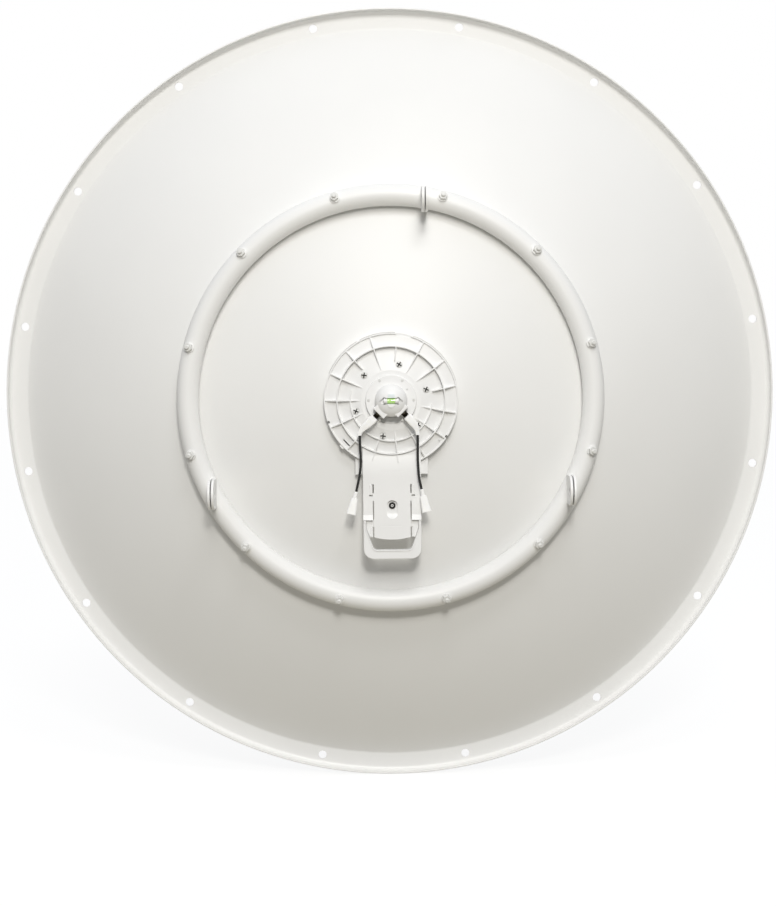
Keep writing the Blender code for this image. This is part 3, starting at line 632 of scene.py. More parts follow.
class DISH_OT_lugs(bpy.types.Operator):
    """Cut the three forked lugs that stand on the ring"""
    bl_idname = "dish.ring_lugs"
    bl_label = "Ring lugs"

    def execute(self, context):
        sizes = context.scene.dish_ring
        for node, (x, z, height) in LUGS.items():
            radius = height / 2
            tip = arc((LUG_TIP_Y + radius, z), radius, 270, 90, 24)
            outline = [(LUG_FOOT_Y, z - radius)] + tip + [(LUG_FOOT_Y, z + radius)]
            lug = plate(node.replace("ring_lug", "lug"), outline, x - sizes.ear_width / 2,
                        x + sizes.ear_width / 2, 'X')
            hole_y = LUG_TIP_Y + radius
            hole = peg("hole", (x - 0.02, hole_y, z), (x + 0.02, hole_y, z), LUG_HOLE_RADIUS, 32)
            bottom = tube_centre(sizes)[1] - sizes.tube_radius - 0.006
            left, right = x - sizes.ear_slot / 2, x + sizes.ear_slot / 2
            slot = plate("slot", rounded([(left, LUG_TIP_Y - 0.01), (right, LUG_TIP_Y - 0.01),
                                          (right, bottom, 0.0007), (left, bottom, 0.0007)]),
                         z - height, z + height, 'Z')
            combine(lug, [hole, slot])
            tube = arc(tube_centre(sizes), sizes.tube_radius - 0.0004, 0, 360 * 23 / 24, 23)
            combine(lug, [turned("seat", tube, 96)])
            soften(lug, 0.0006, 2)
            finish_piece(lug, "white_powder_coat", [node])
        return {'FINISHED'}


class DISH_OT_bolts(bpy.types.Operator):
    """Turn one through bolt with its washer and nut, and copy it round the ring"""
    bl_idname = "dish.ring_bolts"
    bl_label = "Ring bolts"

    def execute(self, context):
        sizes = context.scene.dish_ring
        behind = SHEET / 2 + 2 * CLEARANCE + 2 * sizes.tube_radius
        r0, y0 = off_bowl(sizes.contact_radius, 0)
        r1, y1 = off_bowl(sizes.contact_radius, 0.01)
        foot, axis = polar(r0, y0, 0), (polar(r1, y1, 0) - polar(r0, y0, 0)).normalized()

        seat = -(SHEET / 2 + CLEARANCE)
        head_radius, head_height, shank = 0.0065, 0.0034, 0.003
        crown = [(head_radius * math.sin(math.radians(a)), seat - head_height * math.cos(math.radians(a)))
                 for a in (18, 36, 54, 72, 90)]
        side_view = [(0, seat - head_height)] + crown + [(shank, seat), (shank, behind), (0, behind)]
        head = turned("bolt", side_view, 32, foot, axis, False)
        combine(head, [peg("key", foot + axis * (seat - 0.005), foot + axis * (seat - 0.0016), 0.0023, 6)])

        bore, flange = 0.0031, 0.0070
        washer = turned("washer", rounded([(bore, behind - 0.0006), (flange, behind - 0.0006, 0.0003),
                                           (flange, behind + 0.0006, 0.0005), (bore, behind + 0.0010)], 3),
                        32, foot, axis)

        top = behind + 0.0058
        nut = peg("nut", foot + axis * (behind + 0.0008), foot + axis * top, 0.00577, 6)
        chamfer = [(0, behind), (0.0062, behind), (0.0062, top - 0.0009),
                   (0.0045, top + 0.0001), (0, top + 0.0001)]
        combine(nut, [turned("lathe", chamfer, 32, foot, axis, False)], 'INTERSECT')
        thread, reach, pitch = [(0, top - 0.001)], top - 0.001, 0.0008
        while reach < top + 0.0028:
            thread += [(0.0026, reach), (0.0029, reach + pitch / 2)]
            reach += pitch
        thread += [(0.0022, top + 0.0032), (0, top + 0.0032)]
        nut = join(nut, turned("stud", thread, 20, foot, axis, False))

        chance = random.Random(11)
        for i in range(sizes.bolt_count):
            clock = 360 / sizes.bolt_count * (i + 0.5)
            spin = (Matrix.Translation(DISH + foot) @ Matrix.Rotation(chance.uniform(0, math.tau), 4, axis)
                    @ Matrix.Translation(-DISH - foot))
            name = f"{i + 1:02d}"
            finish_piece(copy_of(nut, "bolt_nut_" + name, turn(clock) @ spin), "pale_zinc")
            finish_piece(copy_of(washer, "bolt_washer_" + name, turn(clock)), "white_powder_coat")
            finish_piece(copy_of(head, "bolt_head_" + name, turn(clock) @ spin), "zinc_plate",
                         ["ring_bolt_" + name])
        discard(head, washer, nut)
        return {'FINISHED'}


# Hub plate

class HubSizes(bpy.types.PropertyGroup):
    """Sizes of the ribbed hub plate."""
    radius: metres("Radius", "Outer radius of the plate", 0.0864)
    flat_radius: metres("Flat radius", "Inside this the plate is level", 0.0385)
    rib_top: metres("Rib tops", "Plane of the rib tops behind the vertex", -0.018)
    rib_width: metres("Rib width", "Thickness of spokes and ring ribs", 0.0016)
    spokes: bpy.props.IntProperty(name="Spokes", description="Straight ribs round the hub", default=15)
    ring_rib: metres("Ring rib", "Radius of the full ring rib", 0.0691)
    rim_y: metres("Rim plane", "Top of the rim behind the vertex", -0.0118)
    lip: metres("Rim lip", "Width of the lip round the plate", 0.0020)


INNER_DEPTH = 0.0080          # of the cells inside the ring rib, at the rib
OUTER_DEPTH = 0.0060          # of the cells outside it, at the rib
BAND_EDGE = 0.0022            # of the outer cells at the rim, from the top of its lip
HUB_BORE = 0.0225
HUB_SHELL = 0.0025            # thickness of the plate and of its skirt
PART_RIB = 0.0522             # radius of the second ring rib, which runs round the lower half
KNEE = 0.0712                 # radius where a spoke starts to slope down to the rim
SCREW_CIRCLE = 0.047
SCREW_CLOCK = 13.3


def hub_cone_y(sizes, radius):
    """Rear face of the plate inside its ring rib, level in the middle and falling outwards."""
    share = (radius - sizes.flat_radius) / (sizes.ring_rib - sizes.flat_radius)
    return sizes.rib_top + INNER_DEPTH * max(0.0, share)


def hub_band_y(sizes, radius):
    """Rear face of the band outside the ring rib, falling to the rim."""
    share = (radius - sizes.ring_rib) / (sizes.radius - sizes.ring_rib)
    inside = sizes.rib_top + OUTER_DEPTH
    return inside + (sizes.rim_y + BAND_EDGE - inside) * share


def cross_recess_shade(point, arm, wide, low, high, turn_deg):
    """Two bars in the shape of a cross recess, turned about a screw's middle: painted shade, set into the
    head where the recess lies.
    """
    x, _, z = point
    bars = []
    for turn_more in (0, 90):
        angle = math.radians(turn_deg + turn_more)
        way, side = Vector((math.cos(angle), math.sin(angle))), Vector((-math.sin(angle), math.cos(angle)))
        corners = [way * a + side * b for a, b in oblong(-arm, -wide, arm, wide)]
        bars.append(plate("recess", [(x + c.x, z + c.y) for c in corners], low, high))
    return bars


def pan_screw(name, point, radius, height, sides=32, slot=0.16):
    """A pan-head screw whose cross recess looks backwards; point is the middle of its seat."""
    outline = [(0, height)]
    for degrees in (20, 40, 60, 78):
        a = math.radians(degrees)
        outline.append((radius * math.sin(a), height * (0.35 + 0.65 * math.cos(a))))
    outline += [(radius, height * 0.3), (radius, 0), (0, 0)]
    screw = turned(name, outline, sides, point, BACKWARDS, False)
    x, y, z = point
    arm, wide = radius * 0.62, radius * slot
    for a, b in ((arm, wide), (wide, arm)):
        cross = oblong(x - a, z - b, x + a, z + b)
        combine(screw, [plate("cross", cross, y - height * 2, y - height * 0.35)])
    return screw


def recessed_screw(name, point, radius, height, turn_deg):
    """A low round head, with bars of painted shade where its cross recess lies; point is the middle of its
    seat.
    """
    y = point[1]
    outline = [(0, height), (radius * 0.75, height * 0.92), (radius, height * 0.55), (radius, 0), (0, 0)]
    screw = turned(name, outline, 32, point, BACKWARDS, False)
    marks = cross_recess_shade(point, radius * 0.85, radius * 0.19, y - height * 1.01, y - height * 0.6, turn_deg)
    return screw, marks


def radial_bar(name, clock, start, end, width, low, high):
    """A straight bar that runs outwards at a clock angle."""
    angle = math.radians(clock)
    way, side = Vector((math.sin(angle), math.cos(angle))), Vector((math.cos(angle), -math.sin(angle)))
    half = width / 2
    corners = [way * r + side * w for r, w in ((start, -half), (start, half), (end, half), (end, -half))]
    return plate(name, [tuple(c) for c in corners], low, high)


def ring_band(name, radius, width, start, end, low, high, steps):
    """A part of a ring between two clock angles."""
    end += 360 if end < start else 0
    outline = arc((0, 0), radius + width / 2, 90 - start, 90 - end, steps)
    outline += arc((0, 0), radius - width / 2, 90 - end, 90 - start, steps)
    return plate(name, outline, low, high)


class DISH_OT_hub(bpy.types.Operator):
    """Mould the hub plate with its spokes, ring ribs and screws"""
    bl_idname = "dish.hub_plate"
    bl_label = "Hub plate"

    def execute(self, context):
        sizes = context.scene.dish_hub
        top, rim, width = sizes.rib_top, sizes.radius, sizes.rib_width
        inner, lip = rim - HUB_SHELL, rim - sizes.lip
        outline = rounded([
            (HUB_BORE, top), (sizes.flat_radius, top, 0.003),
            (sizes.ring_rib, hub_cone_y(sizes, sizes.ring_rib)),
            (sizes.ring_rib, hub_band_y(sizes, sizes.ring_rib)), (lip, hub_band_y(sizes, lip)),
            (lip, sizes.rim_y, 0.0003), (rim - 0.0002, sizes.rim_y, 0.0005), (rim, behind_bowl(rim)),
            (inner, behind_bowl(inner)), (inner, hub_band_y(sizes, inner) + HUB_SHELL),
            (sizes.ring_rib, hub_cone_y(sizes, sizes.ring_rib) + HUB_SHELL),
            (sizes.flat_radius, top + HUB_SHELL), (HUB_BORE, top + HUB_SHELL)], 4)
        hub = turned("hub_cone", outline, 144)

        # Notches in the rim, a slot, and a pocket with a floor of its own below the dome
        floor = ring_band("mouth_cup", 0.0274, 0.0096, 139, 221, top + 0.001, -0.0100, 24)
        combine(hub, [floor], 'UNION')
        cuts = [ring_band("notch", rim + 0.0065, 0.0200, 5, 18, OUTSIDE, sizes.rim_y + 0.0028, 8),
                radial_bar("side_notch", 251, 0.0835, 0.0900, 0.0032, OUTSIDE, 0.020),
                radial_bar("low_notch", 124, 0.0835, 0.0900, 0.0032, OUTSIDE, 0.020),
                ring_band("slot", 0.0792, 0.0016, 222, 231, OUTSIDE, 0.004, 4),
                ring_band("mouth", 0.0256, 0.0100, 142, 218, OUTSIDE, -0.0120, 24)]
        combine(hub, [join(*cuts)])

        # Ring ribs and spokes. Each spoke's crest is a hair lower than the last one's, so that no
        # two faces coincide. Three spokes start a little further out, beyond a screw. The first one
        # is short at both ends.
        root, edge = top + 0.0095, 0.0003
        inside, outside = sizes.ring_rib - width / 2, sizes.ring_rib + width / 2
        ring = rounded([(inside, root), (inside, top, edge), (outside, top, edge), (outside, root)], 2)
        ribs = [turned("ring_rib", ring, 144)]
        part_root = hub_cone_y(sizes, PART_RIB) + 0.001
        part_rib = ring_band("part_rib", PART_RIB, width, 95, 285, top, part_root, 64)
        soften(part_rib, edge, 2, 50)
        ribs.append(part_rib)
        for i in range(sizes.spokes):
            start, end = (0.0540 if i % 5 == 3 else sizes.flat_radius - 0.001), lip + 0.0004
            if i == 0:
                start, end = 0.0510, KNEE
            knee = min(end, KNEE)
            crest = top + 0.00002 * (i + 1)
            side_view = [(crest, start), (crest, knee)] + ([(sizes.rim_y, end)] if end > knee else [])
            side_view += [(hub_band_y(sizes, end) + 0.001, end), (hub_cone_y(sizes, start) + 0.001, start)]
            spoke = plate("spoke", side_view, -width / 2, width / 2, 'X')
            soften(spoke, edge, 2)
            ribs.append(shift(spoke, turn(6 + 360 / sizes.spokes * i)))

        # The bay that the tray stands in
        bay_half, bay_top = 0.0375, 0.0702
        side = math.degrees(math.asin(bay_half / bay_top))
        bay = plate("bay", arc((0, 0), bay_top, 270 - side, 270 + side, 24)
                    + [(bay_half, -0.120), (-bay_half, -0.120)], OUTSIDE, 0.012)
        twin_bay = copy_of(bay, "twin_bay", Matrix.Identity(4))
        combine(hub, [bay])
        ribs = join(*ribs)
        apply(ribs, 'BOOLEAN', object=twin_bay, operation='DIFFERENCE', solver='EXACT', use_self=True)
        discard(twin_bay)

        seats, screws, recess_shades = [], [], []
        seat_y = hub_cone_y(sizes, SCREW_CIRCLE) + 0.0004
        chance = random.Random(5)
        for i in range(6):
            clock = SCREW_CLOCK + SCREW_STEP * i
            seat = polar(SCREW_CIRCLE, seat_y, clock)
            seats.append(peg("seat", polar(SCREW_CIRCLE, OUTSIDE, clock), seat, 0.0047, 32))
            screw, recess = recessed_screw("hub_screw", seat, 0.0041, 0.0020, chance.uniform(0, 90))
            screws.append(screw)
            recess_shades += recess
        combine(hub, [join(*seats)])
        tab = radial_bar("rim_tab", 227, 0.0850, 0.0886, 0.0060, sizes.rim_y + 0.001, sizes.rim_y + 0.007)
        soften(tab, 0.0005)
        tick = radial_bar("tick", 130, 0.0790, 0.0812, 0.0020, sizes.rim_y - 0.001, sizes.rim_y + 0.004)
        finish_piece(join(hub, ribs, tab, tick), "white_moulding", ["hub_plate"], 30)
        finish_piece(join(*screws, name="hub_screw_heads"), "pale_zinc")
        # Black bars in the hub screws' heads: painted shade where their cross recesses lie.
        finish_piece(join(*recess_shades, name="hub_screw_recess_shades"), "black_recess")
        # Three grey strips on the bowl round the top of the hub's rim: painted shade, a dark line where the
        # rim meets the bowl, not a real seal.
        bowl = off_bowl(rim + 0.0006, SHEET / 2)[1]
        shade_lines = [ring_band("rim_shade_line", rim + 0.0004, 0.0007, start, end, bowl - 0.0012, bowl - 0.0001, 24)
                 for start, end in ((294, 330), (333, 4), (20, 74))]
        finish_piece(join(*shade_lines), "grey_seal")
        return {'FINISHED'}


# Rear end of the feed

class FeedSizes(bpy.types.PropertyGroup):
    """Sizes of the feed, from its rear flange to the sub-reflector."""
    flange_radius: metres("Flange radius", "Disc on the hub plate", 0.0327)
    dome_radius: metres("Dome radius", "Round end with the bubble level", 0.0206)
    dome_tip: metres("Dome tip", "Rear end of the dome behind the vertex", -0.0441)
    tube_radius: metres("Tube radius", "Tube in front of the bowl", 0.022)
    cone_radius: metres("Cone radius", "Wide end of the cone", 0.068)


PORTS = {"left": (-45, 0.0232), "right": (45, 0.0212)}      # turn of each boss, and where its face is
PORT_Y = -0.0305
DISC_FRONT_Y = -0.0183
DISC_REAR_Y = -0.0228
DISC_SCREW_CIRCLE = 0.0288
DOME_FOOT_Y = DISC_REAR_Y - CLEARANCE
VIAL_Y = -0.0408
VIAL_RADIUS = 0.0033
GLASS_END = 0.0049            # half the length of glass that shows between the caps
CAP_END = 0.0098


def port_line(side):
    """Where a connector starts on its boss, and the way that it points."""
    turn_deg, start = PORTS[side]
    along = Vector((math.sin(math.radians(turn_deg)), 0, -math.cos(math.radians(turn_deg))))
    return along * (start + CLEARANCE) + Vector((0, PORT_Y, 0)), along


class DISH_OT_feed_rear(bpy.types.Operator):
    """Turn the feed's rear flange and its dome, with the bosses and the bubble level"""
    bl_idname = "dish.feed_rear"
    bl_label = "Feed rear"

    def execute(self, context):
        sizes = context.scene.dish_feed
        radius, rear = sizes.flange_radius, DISC_REAR_Y
        side_view = [(0.0, DISC_FRONT_Y), (radius, DISC_FRONT_Y), (radius, rear, 0.0011), (0.0, rear)]
        disc = turned("feed_disc", rounded(side_view, 4), 96)
        holes = [peg("hole", (0.0204, OUTSIDE, 0.0134), (0.0204, -0.0205, 0.0134), 0.0012, 20)]
        seat_y = rear + 0.0006
        master = pan_screw("screw", (0, seat_y, DISC_SCREW_CIRCLE), 0.0017, 0.0009)
        screws = []
        for i in range(6):
            clock = 30 + SCREW_STEP * i
            holes.append(peg("hole", polar(DISC_SCREW_CIRCLE, OUTSIDE, clock),
                             polar(DISC_SCREW_CIRCLE, seat_y, clock), 0.0020, 24))
            screws.append(copy_of(master, "flange_screw", turn(clock)))
        discard(master)
        mouth = arc((0, 0), 0.0400, 312, 228, 16) + arc((0, 0), 0.0200, 228, 312, 12)
        combine(disc, [join(*holes), plate("mouth", mouth, OUTSIDE, -0.010)])
        finish_piece(disc, "white_moulding", ["feed_flange"])
        finish_piece(join(*screws, name="flange_screw_heads"), "pale_zinc")

        # The dome, with a boss for each connector and a pocket for the level
        shoulder = DOME_FOOT_Y - 0.007
        crown = shoulder - sizes.dome_tip
        outline, steps = [(0, DOME_FOOT_Y), (sizes.dome_radius, DOME_FOOT_Y)], 20
        for i in range(steps):
            angle = math.pi / 2 * i / steps
            outline.append((sizes.dome_radius * math.cos(angle), shoulder - crown * math.sin(angle)))
        dome = turned("feed_dome_shell", outline + [(0, sizes.dome_tip)], 96, closed=False)
        bosses = []
        for turn_deg, start in PORTS.values():
            boss = plate("boss", oblong(-0.0092, -start, 0.0092, -0.004), -0.0372, DOME_FOOT_Y)
            soften(boss, 0.0010, 3)
            bosses.append(shift(boss, turn(-turn_deg)))
        combine(dome, bosses, 'UNION')
        before_tip = sizes.dome_tip - 0.01
        tip, half, low, high, bend = 0.0150, 0.0108, -0.0041, 0.0037, 0.001
        lens = [(-tip, -0.0006), (-half, low, bend), (half, low, bend),
                (tip, -0.0006), (half, high, bend), (-half, high, bend)]
        pocket = plate("pocket", rounded(lens), before_tip, VIAL_Y + 0.0036)
        corners = [plate("corner", oblong(x - 0.0013, -0.0050, x + 0.0013, 0.0046), before_tip,
                         VIAL_Y + 0.0044) for x in (-0.0088, 0.0088)]
        combine(dome, [pocket] + corners)
        tongue = plate("tongue", arc((0, -0.0038), 0.0048, 180, 360, 16), sizes.dome_tip, -0.0421)
        soften(tongue, 0.0004, 2, 50)
        combine(dome, [tongue], 'UNION')
        finish_piece(dome, "white_moulding", ["feed_dome"], 30)

        half, low, high = 0.0045, 0.0037, 0.0086
        window = plate("level_window", rounded([(-half, low), (half, low), (half, high, 0.0012),
                                                (-half, high, 0.0012)]), sizes.dome_tip, -0.0415)
        soften(window, 0.0003, 2)
        finish_piece(window, "level_window")

        # The level: its glass, the bubble in it and the two caps
        vial_axis = (0, VIAL_Y, 0)
        glass = [(0, -GLASS_END), (0.0031, -GLASS_END), (VIAL_RADIUS, 0, 0.01),
                 (0.0031, GLASS_END), (0, GLASS_END)]
        fluid = turned("level_glass", rounded(glass, 6), 32, vial_axis, (1, 0, 0), False)
        finish_piece(fluid, "level_fluid", ["level_vial"])
        bubble = turned("level_bubble", arc((0, 0), 0.0020, 270, 90, 12), 20,
                        (0.0004, VIAL_Y - 0.0013, 0.0006), (1, 0, 0), False)
        finish_piece(bubble, "level_bubble")
        ends = []
        for side in (-1, 1):
            cap = turned("cap", rounded([(0, GLASS_END), (VIAL_RADIUS, GLASS_END, 0.0004),
                                         (VIAL_RADIUS, CAP_END, 0.0010), (0, CAP_END)], 3),
                         32, vial_axis, (side, 0, 0), False)
            groove = turned("groove", oblong(0.0029, 0.0064, 0.0040, 0.0074), 32, vial_axis, (side, 0, 0))
            combine(cap, [groove])
            ends.append(cap)
        finish_piece(join(*ends, name="level_caps"), "white_moulding")
        return {'FINISHED'}


class DISH_OT_connectors(bpy.types.Operator):
    """Turn the two threaded connectors and mould their boots"""
    bl_idname = "dish.connectors"
    bl_label = "Connectors and boots"

    def execute(self, context):
        root, crest, pitch, thread_end = 0.0033, 0.0037, 0.0006, 0.0062
        for side in PORTS:
            face, along = port_line(side)
            outline, reach = [(0, 0), (0.0040, 0), (0.0040, 0.0014), (root, 0.0016)], 0.0020
            while reach < 0.0056:
                outline += [(root, reach), (crest, reach + pitch / 2)]
                reach += pitch
            outline += [(0.0030, thread_end), (0, thread_end)]
            thread = turned("port_thread_" + side, outline, 32, face, along, False)
            finish_piece(thread, "gold_thread", ["connector_" + side])
            end = face + along * thread_end
            route = [end + along * CLEARANCE, end + along * 0.0050] + BOOT_ROUTES[side]
            boot = swept("port_boot_" + side, smooth_path(route, 26), BOOT_HALF_WIDTHS, 0.9)
            finish_piece(boot, "milky_boot", ["connector_boot_" + side], 30)
        return {'FINISHED'}


def swept(name, path, half_widths, depth_share):
    """A flat-sided bar with round corners along a path; half widths are spread evenly along it."""
    bare()
    section = rounded([(*corner, 0.35) for corner in oblong(-depth_share, -1, depth_share, 1)], 4)
    tools = []
    for part, points, closed in (("_section", [(a, b, 0) for a, b in section], True), ("", path, False)):
        curve = bpy.data.curves.new(name + part, 'CURVE')
        curve.dimensions = '2D' if closed else '3D'
        line = curve.splines.new('POLY')
        line.points.add(len(points) - 1)
        line.use_cyclic_u = closed
        for i, (corner, point) in enumerate(zip(line.points, points)):
            corner.co = (*point, 1.0) if closed else (*place(*point), 1.0)
            if not closed:
                reach = i / (len(points) - 1) * (len(half_widths) - 1)
                k = min(int(reach), len(half_widths) - 2)
                corner.radius = half_widths[k] + (half_widths[k + 1] - half_widths[k]) * (reach - k)
        tool = bpy.data.objects.new(name + part, curve)
        bpy.context.collection.objects.link(tool)
        tools.append(tool)
    section, bar = tools
    bar.data.bevel_mode = 'OBJECT'
    bar.data.bevel_object = section
    bar.data.use_fill_caps = True
    take(bar)
    bpy.ops.object.convert(target='MESH')
    bar = bpy.context.object
    discard(section)
    close_seams(bar)
    return bar


# Leads. A boot runs out at 45 degrees from its connector and turns down; the lead hangs from it.
# Both are led through points of the dish.

BOOT_ROUTES = {
    "left": [(-0.0290, PORT_Y, -0.0286), (-0.0358, PORT_Y, -0.0346), (-0.0403, PORT_Y, -0.0405),
             (-0.0404, PORT_Y, -0.0440)],
    "right": [(0.0274, PORT_Y, -0.0286), (0.0311, PORT_Y, -0.0342), (0.0331, PORT_Y, -0.0402),
              (0.0332, PORT_Y, -0.0440)],
}
LEAD_ROUTES = {
    "left": [(-0.0404, -0.0305, -0.0443), (-0.0404, -0.0303, -0.0510), (-0.0401, -0.0300, -0.0590),
             (-0.0396, -0.0296, -0.0680), (-0.0395, -0.0291, -0.0770), (-0.0400, -0.0286, -0.0860),
             (-0.0413, -0.0281, -0.0950), (-0.0433, -0.0276, -0.1050), (-0.0458, -0.0272, -0.1157)],
    "right": [(0.0332, -0.0305, -0.0443), (0.0333, -0.0303, -0.0510), (0.0333, -0.0300, -0.0590),
              (0.0332, -0.0296, -0.0680), (0.0333, -0.0291, -0.0770), (0.0337, -0.0286, -0.0860),
              (0.0343, -0.0281, -0.0950), (0.0356, -0.0276, -0.1040), (0.0376, -0.0272, -0.1134)],
}

BOOT_HALF_WIDTHS = (0.0053, 0.0053, 0.0051, 0.0046, 0.0037, 0.0028, 0.0025)
PLUG_HALF_WIDTHS = (0.0040, 0.0045, 0.0048, 0.0051, 0.0054, 0.0058, 0.0062)


class LeadSizes(bpy.types.PropertyGroup):
    """Sizes of the two thin leads."""
    diameter: metres("Diameter", "Over the jacket", 0.0032)
    points: bpy.props.IntProperty(name="Points", description="Points along each lead", default=24,
                                  min=15, max=40)
    plug_length: metres("Plug boot", "Body of the boot over the plug", 0.0205)


class DISH_OT_leads(bpy.types.Operator):
    """Hang the two black leads from their boots, and cover their plugs"""
    bl_idname = "dish.leads"
    bl_label = "Leads and plug boots"

    def execute(self, context):
        sizes = context.scene.dish_leads
        for side, route in LEAD_ROUTES.items():
            path = smooth_path(route, sizes.points)
            curve = bpy.data.curves.new("lead_" + side, 'CURVE')
            curve.dimensions = '3D'
            curve.bevel_depth = sizes.diameter / 2
            curve.bevel_resolution = 5
            curve.use_fill_caps = True
            curve.resolution_u = 1
            spline = curve.splines.new('POLY')
            spline.points.add(len(path) - 1)
            for corner, point in zip(spline.points, path):
                corner.co = (*place(*point), 1.0)
            lead = bpy.data.objects.new("lead_" + side, curve)
            context.collection.objects.link(lead)
            finish_piece(lead, "black_jacket", ["jumper_" + side])

            along = (path[-1] - path[-2]).normalized()
            down = Vector((along.x, 0, along.z)).normalized()
            start = path[-1] + down * CLEARANCE
            profile = [(0, 0), (0.0019, 0), (0.0023, 0.0012, 0.0005), (0.0024, 0.0105), (0, 0.0105)]
            neck = turned("plug_neck_" + side, rounded(profile, 3), 28, start, down, False)
            body_start, body_end = 0.0086, 0.0088 + sizes.plug_length
            spine = [start + down * (body_start + (body_end - body_start) * k / 20) for k in range(21)]
            body = join(swept("plug_boot_" + side, spine, PLUG_HALF_WIDTHS, 0.7), neck)
            finish_piece(body, "milky_boot", ["jumper_boot_" + side], 30)
            length = sum((b - a).length for a, b in zip(path, path[1:]))
        return {'FINISHED'}


# Tray, its bracket and its handle

class TraySizes(bpy.types.PropertyGroup):
    """Sizes of the radio tray, its bracket and its handle."""
    half_width: metres("Half width", "Half the tray's width", 0.0372)
    rear: metres("Rear face", "Rear face of the tray behind the vertex", -0.018)
    plate: metres("Plate", "Thickness of the tray's plate", 0.003)
    screw_height: metres("Screw", "Where the tray's screw sits", -0.1352)


TRAY_TOP = 0.0705             # radius of the tray's upper end, round the dish's axis
TRAY_LOW = -0.1534            # its lower end
TRAY_FRONT_Y = -0.0063
SHELF_Y = -0.0165             # rear face of the shelf that the tongue lies on
TONGUE_HALF = 0.0243
TONGUE_Z = -0.1757            # where the tongue's curved end starts
SLOT_END = -0.1450            # lower end of the slot that the screw sits in
SLOT_RADIUS = 0.0070
SLOT_Y = -0.0143              # floor of that slot


class DISH_OT_bracket(bpy.types.Operator):
    """Mould the stiff plate whose ends show as wings beside the tray"""
    bl_idname = "dish.tray_bracket"
    bl_label = "Tray bracket"

    def execute(self, context):
        half, reach = 0.0468, 0.0867
        side = math.degrees(math.asin(half / reach))
        outline = arc((0, 0), reach, 270 + side, 270 - side, 28) + [(-half, -0.0957), (half, -0.0957)]
        wings = plate("tray_wings", outline, -0.0060,
                      off_bowl(context.scene.dish_hub.radius, SHEET / 2 + 0.0005)[1])
        soften(wings, 0.0007, 2, 50)
        finish_piece(wings, "white_moulding", ["tray_bracket"])
        return {'FINISHED'}


def slot_outline(top, radius):
    """The screw's slot, which ends in two half circles."""
    return arc((0, top), radius, 0, 180, 16) + arc((0, SLOT_END), radius, 180, 360, 16)


def cross_bar(name, z, rear):
    """The cutter of a shallow groove across the middle of the tray."""
    return plate(name, oblong(-0.0135, z - 0.0005, 0.0135, z + 0.0005), rear - 0.001, rear + 0.0004)


# Cuts right through the tray, on its right: inner and outer edge, then lower and upper end
LATCH_SLITS = ((0.0233, 0.0249, -0.1534, -0.1290), (0.0233, 0.0250, -0.1190, -0.1075),
               (0.0240, 0.0266, -0.1089, -0.1075), (0.0246, 0.0294, -0.1229, -0.1211),
               (0.0233, 0.0249, -0.1760, -0.1622), (0.0240, 0.0266, -0.1636, -0.1622))


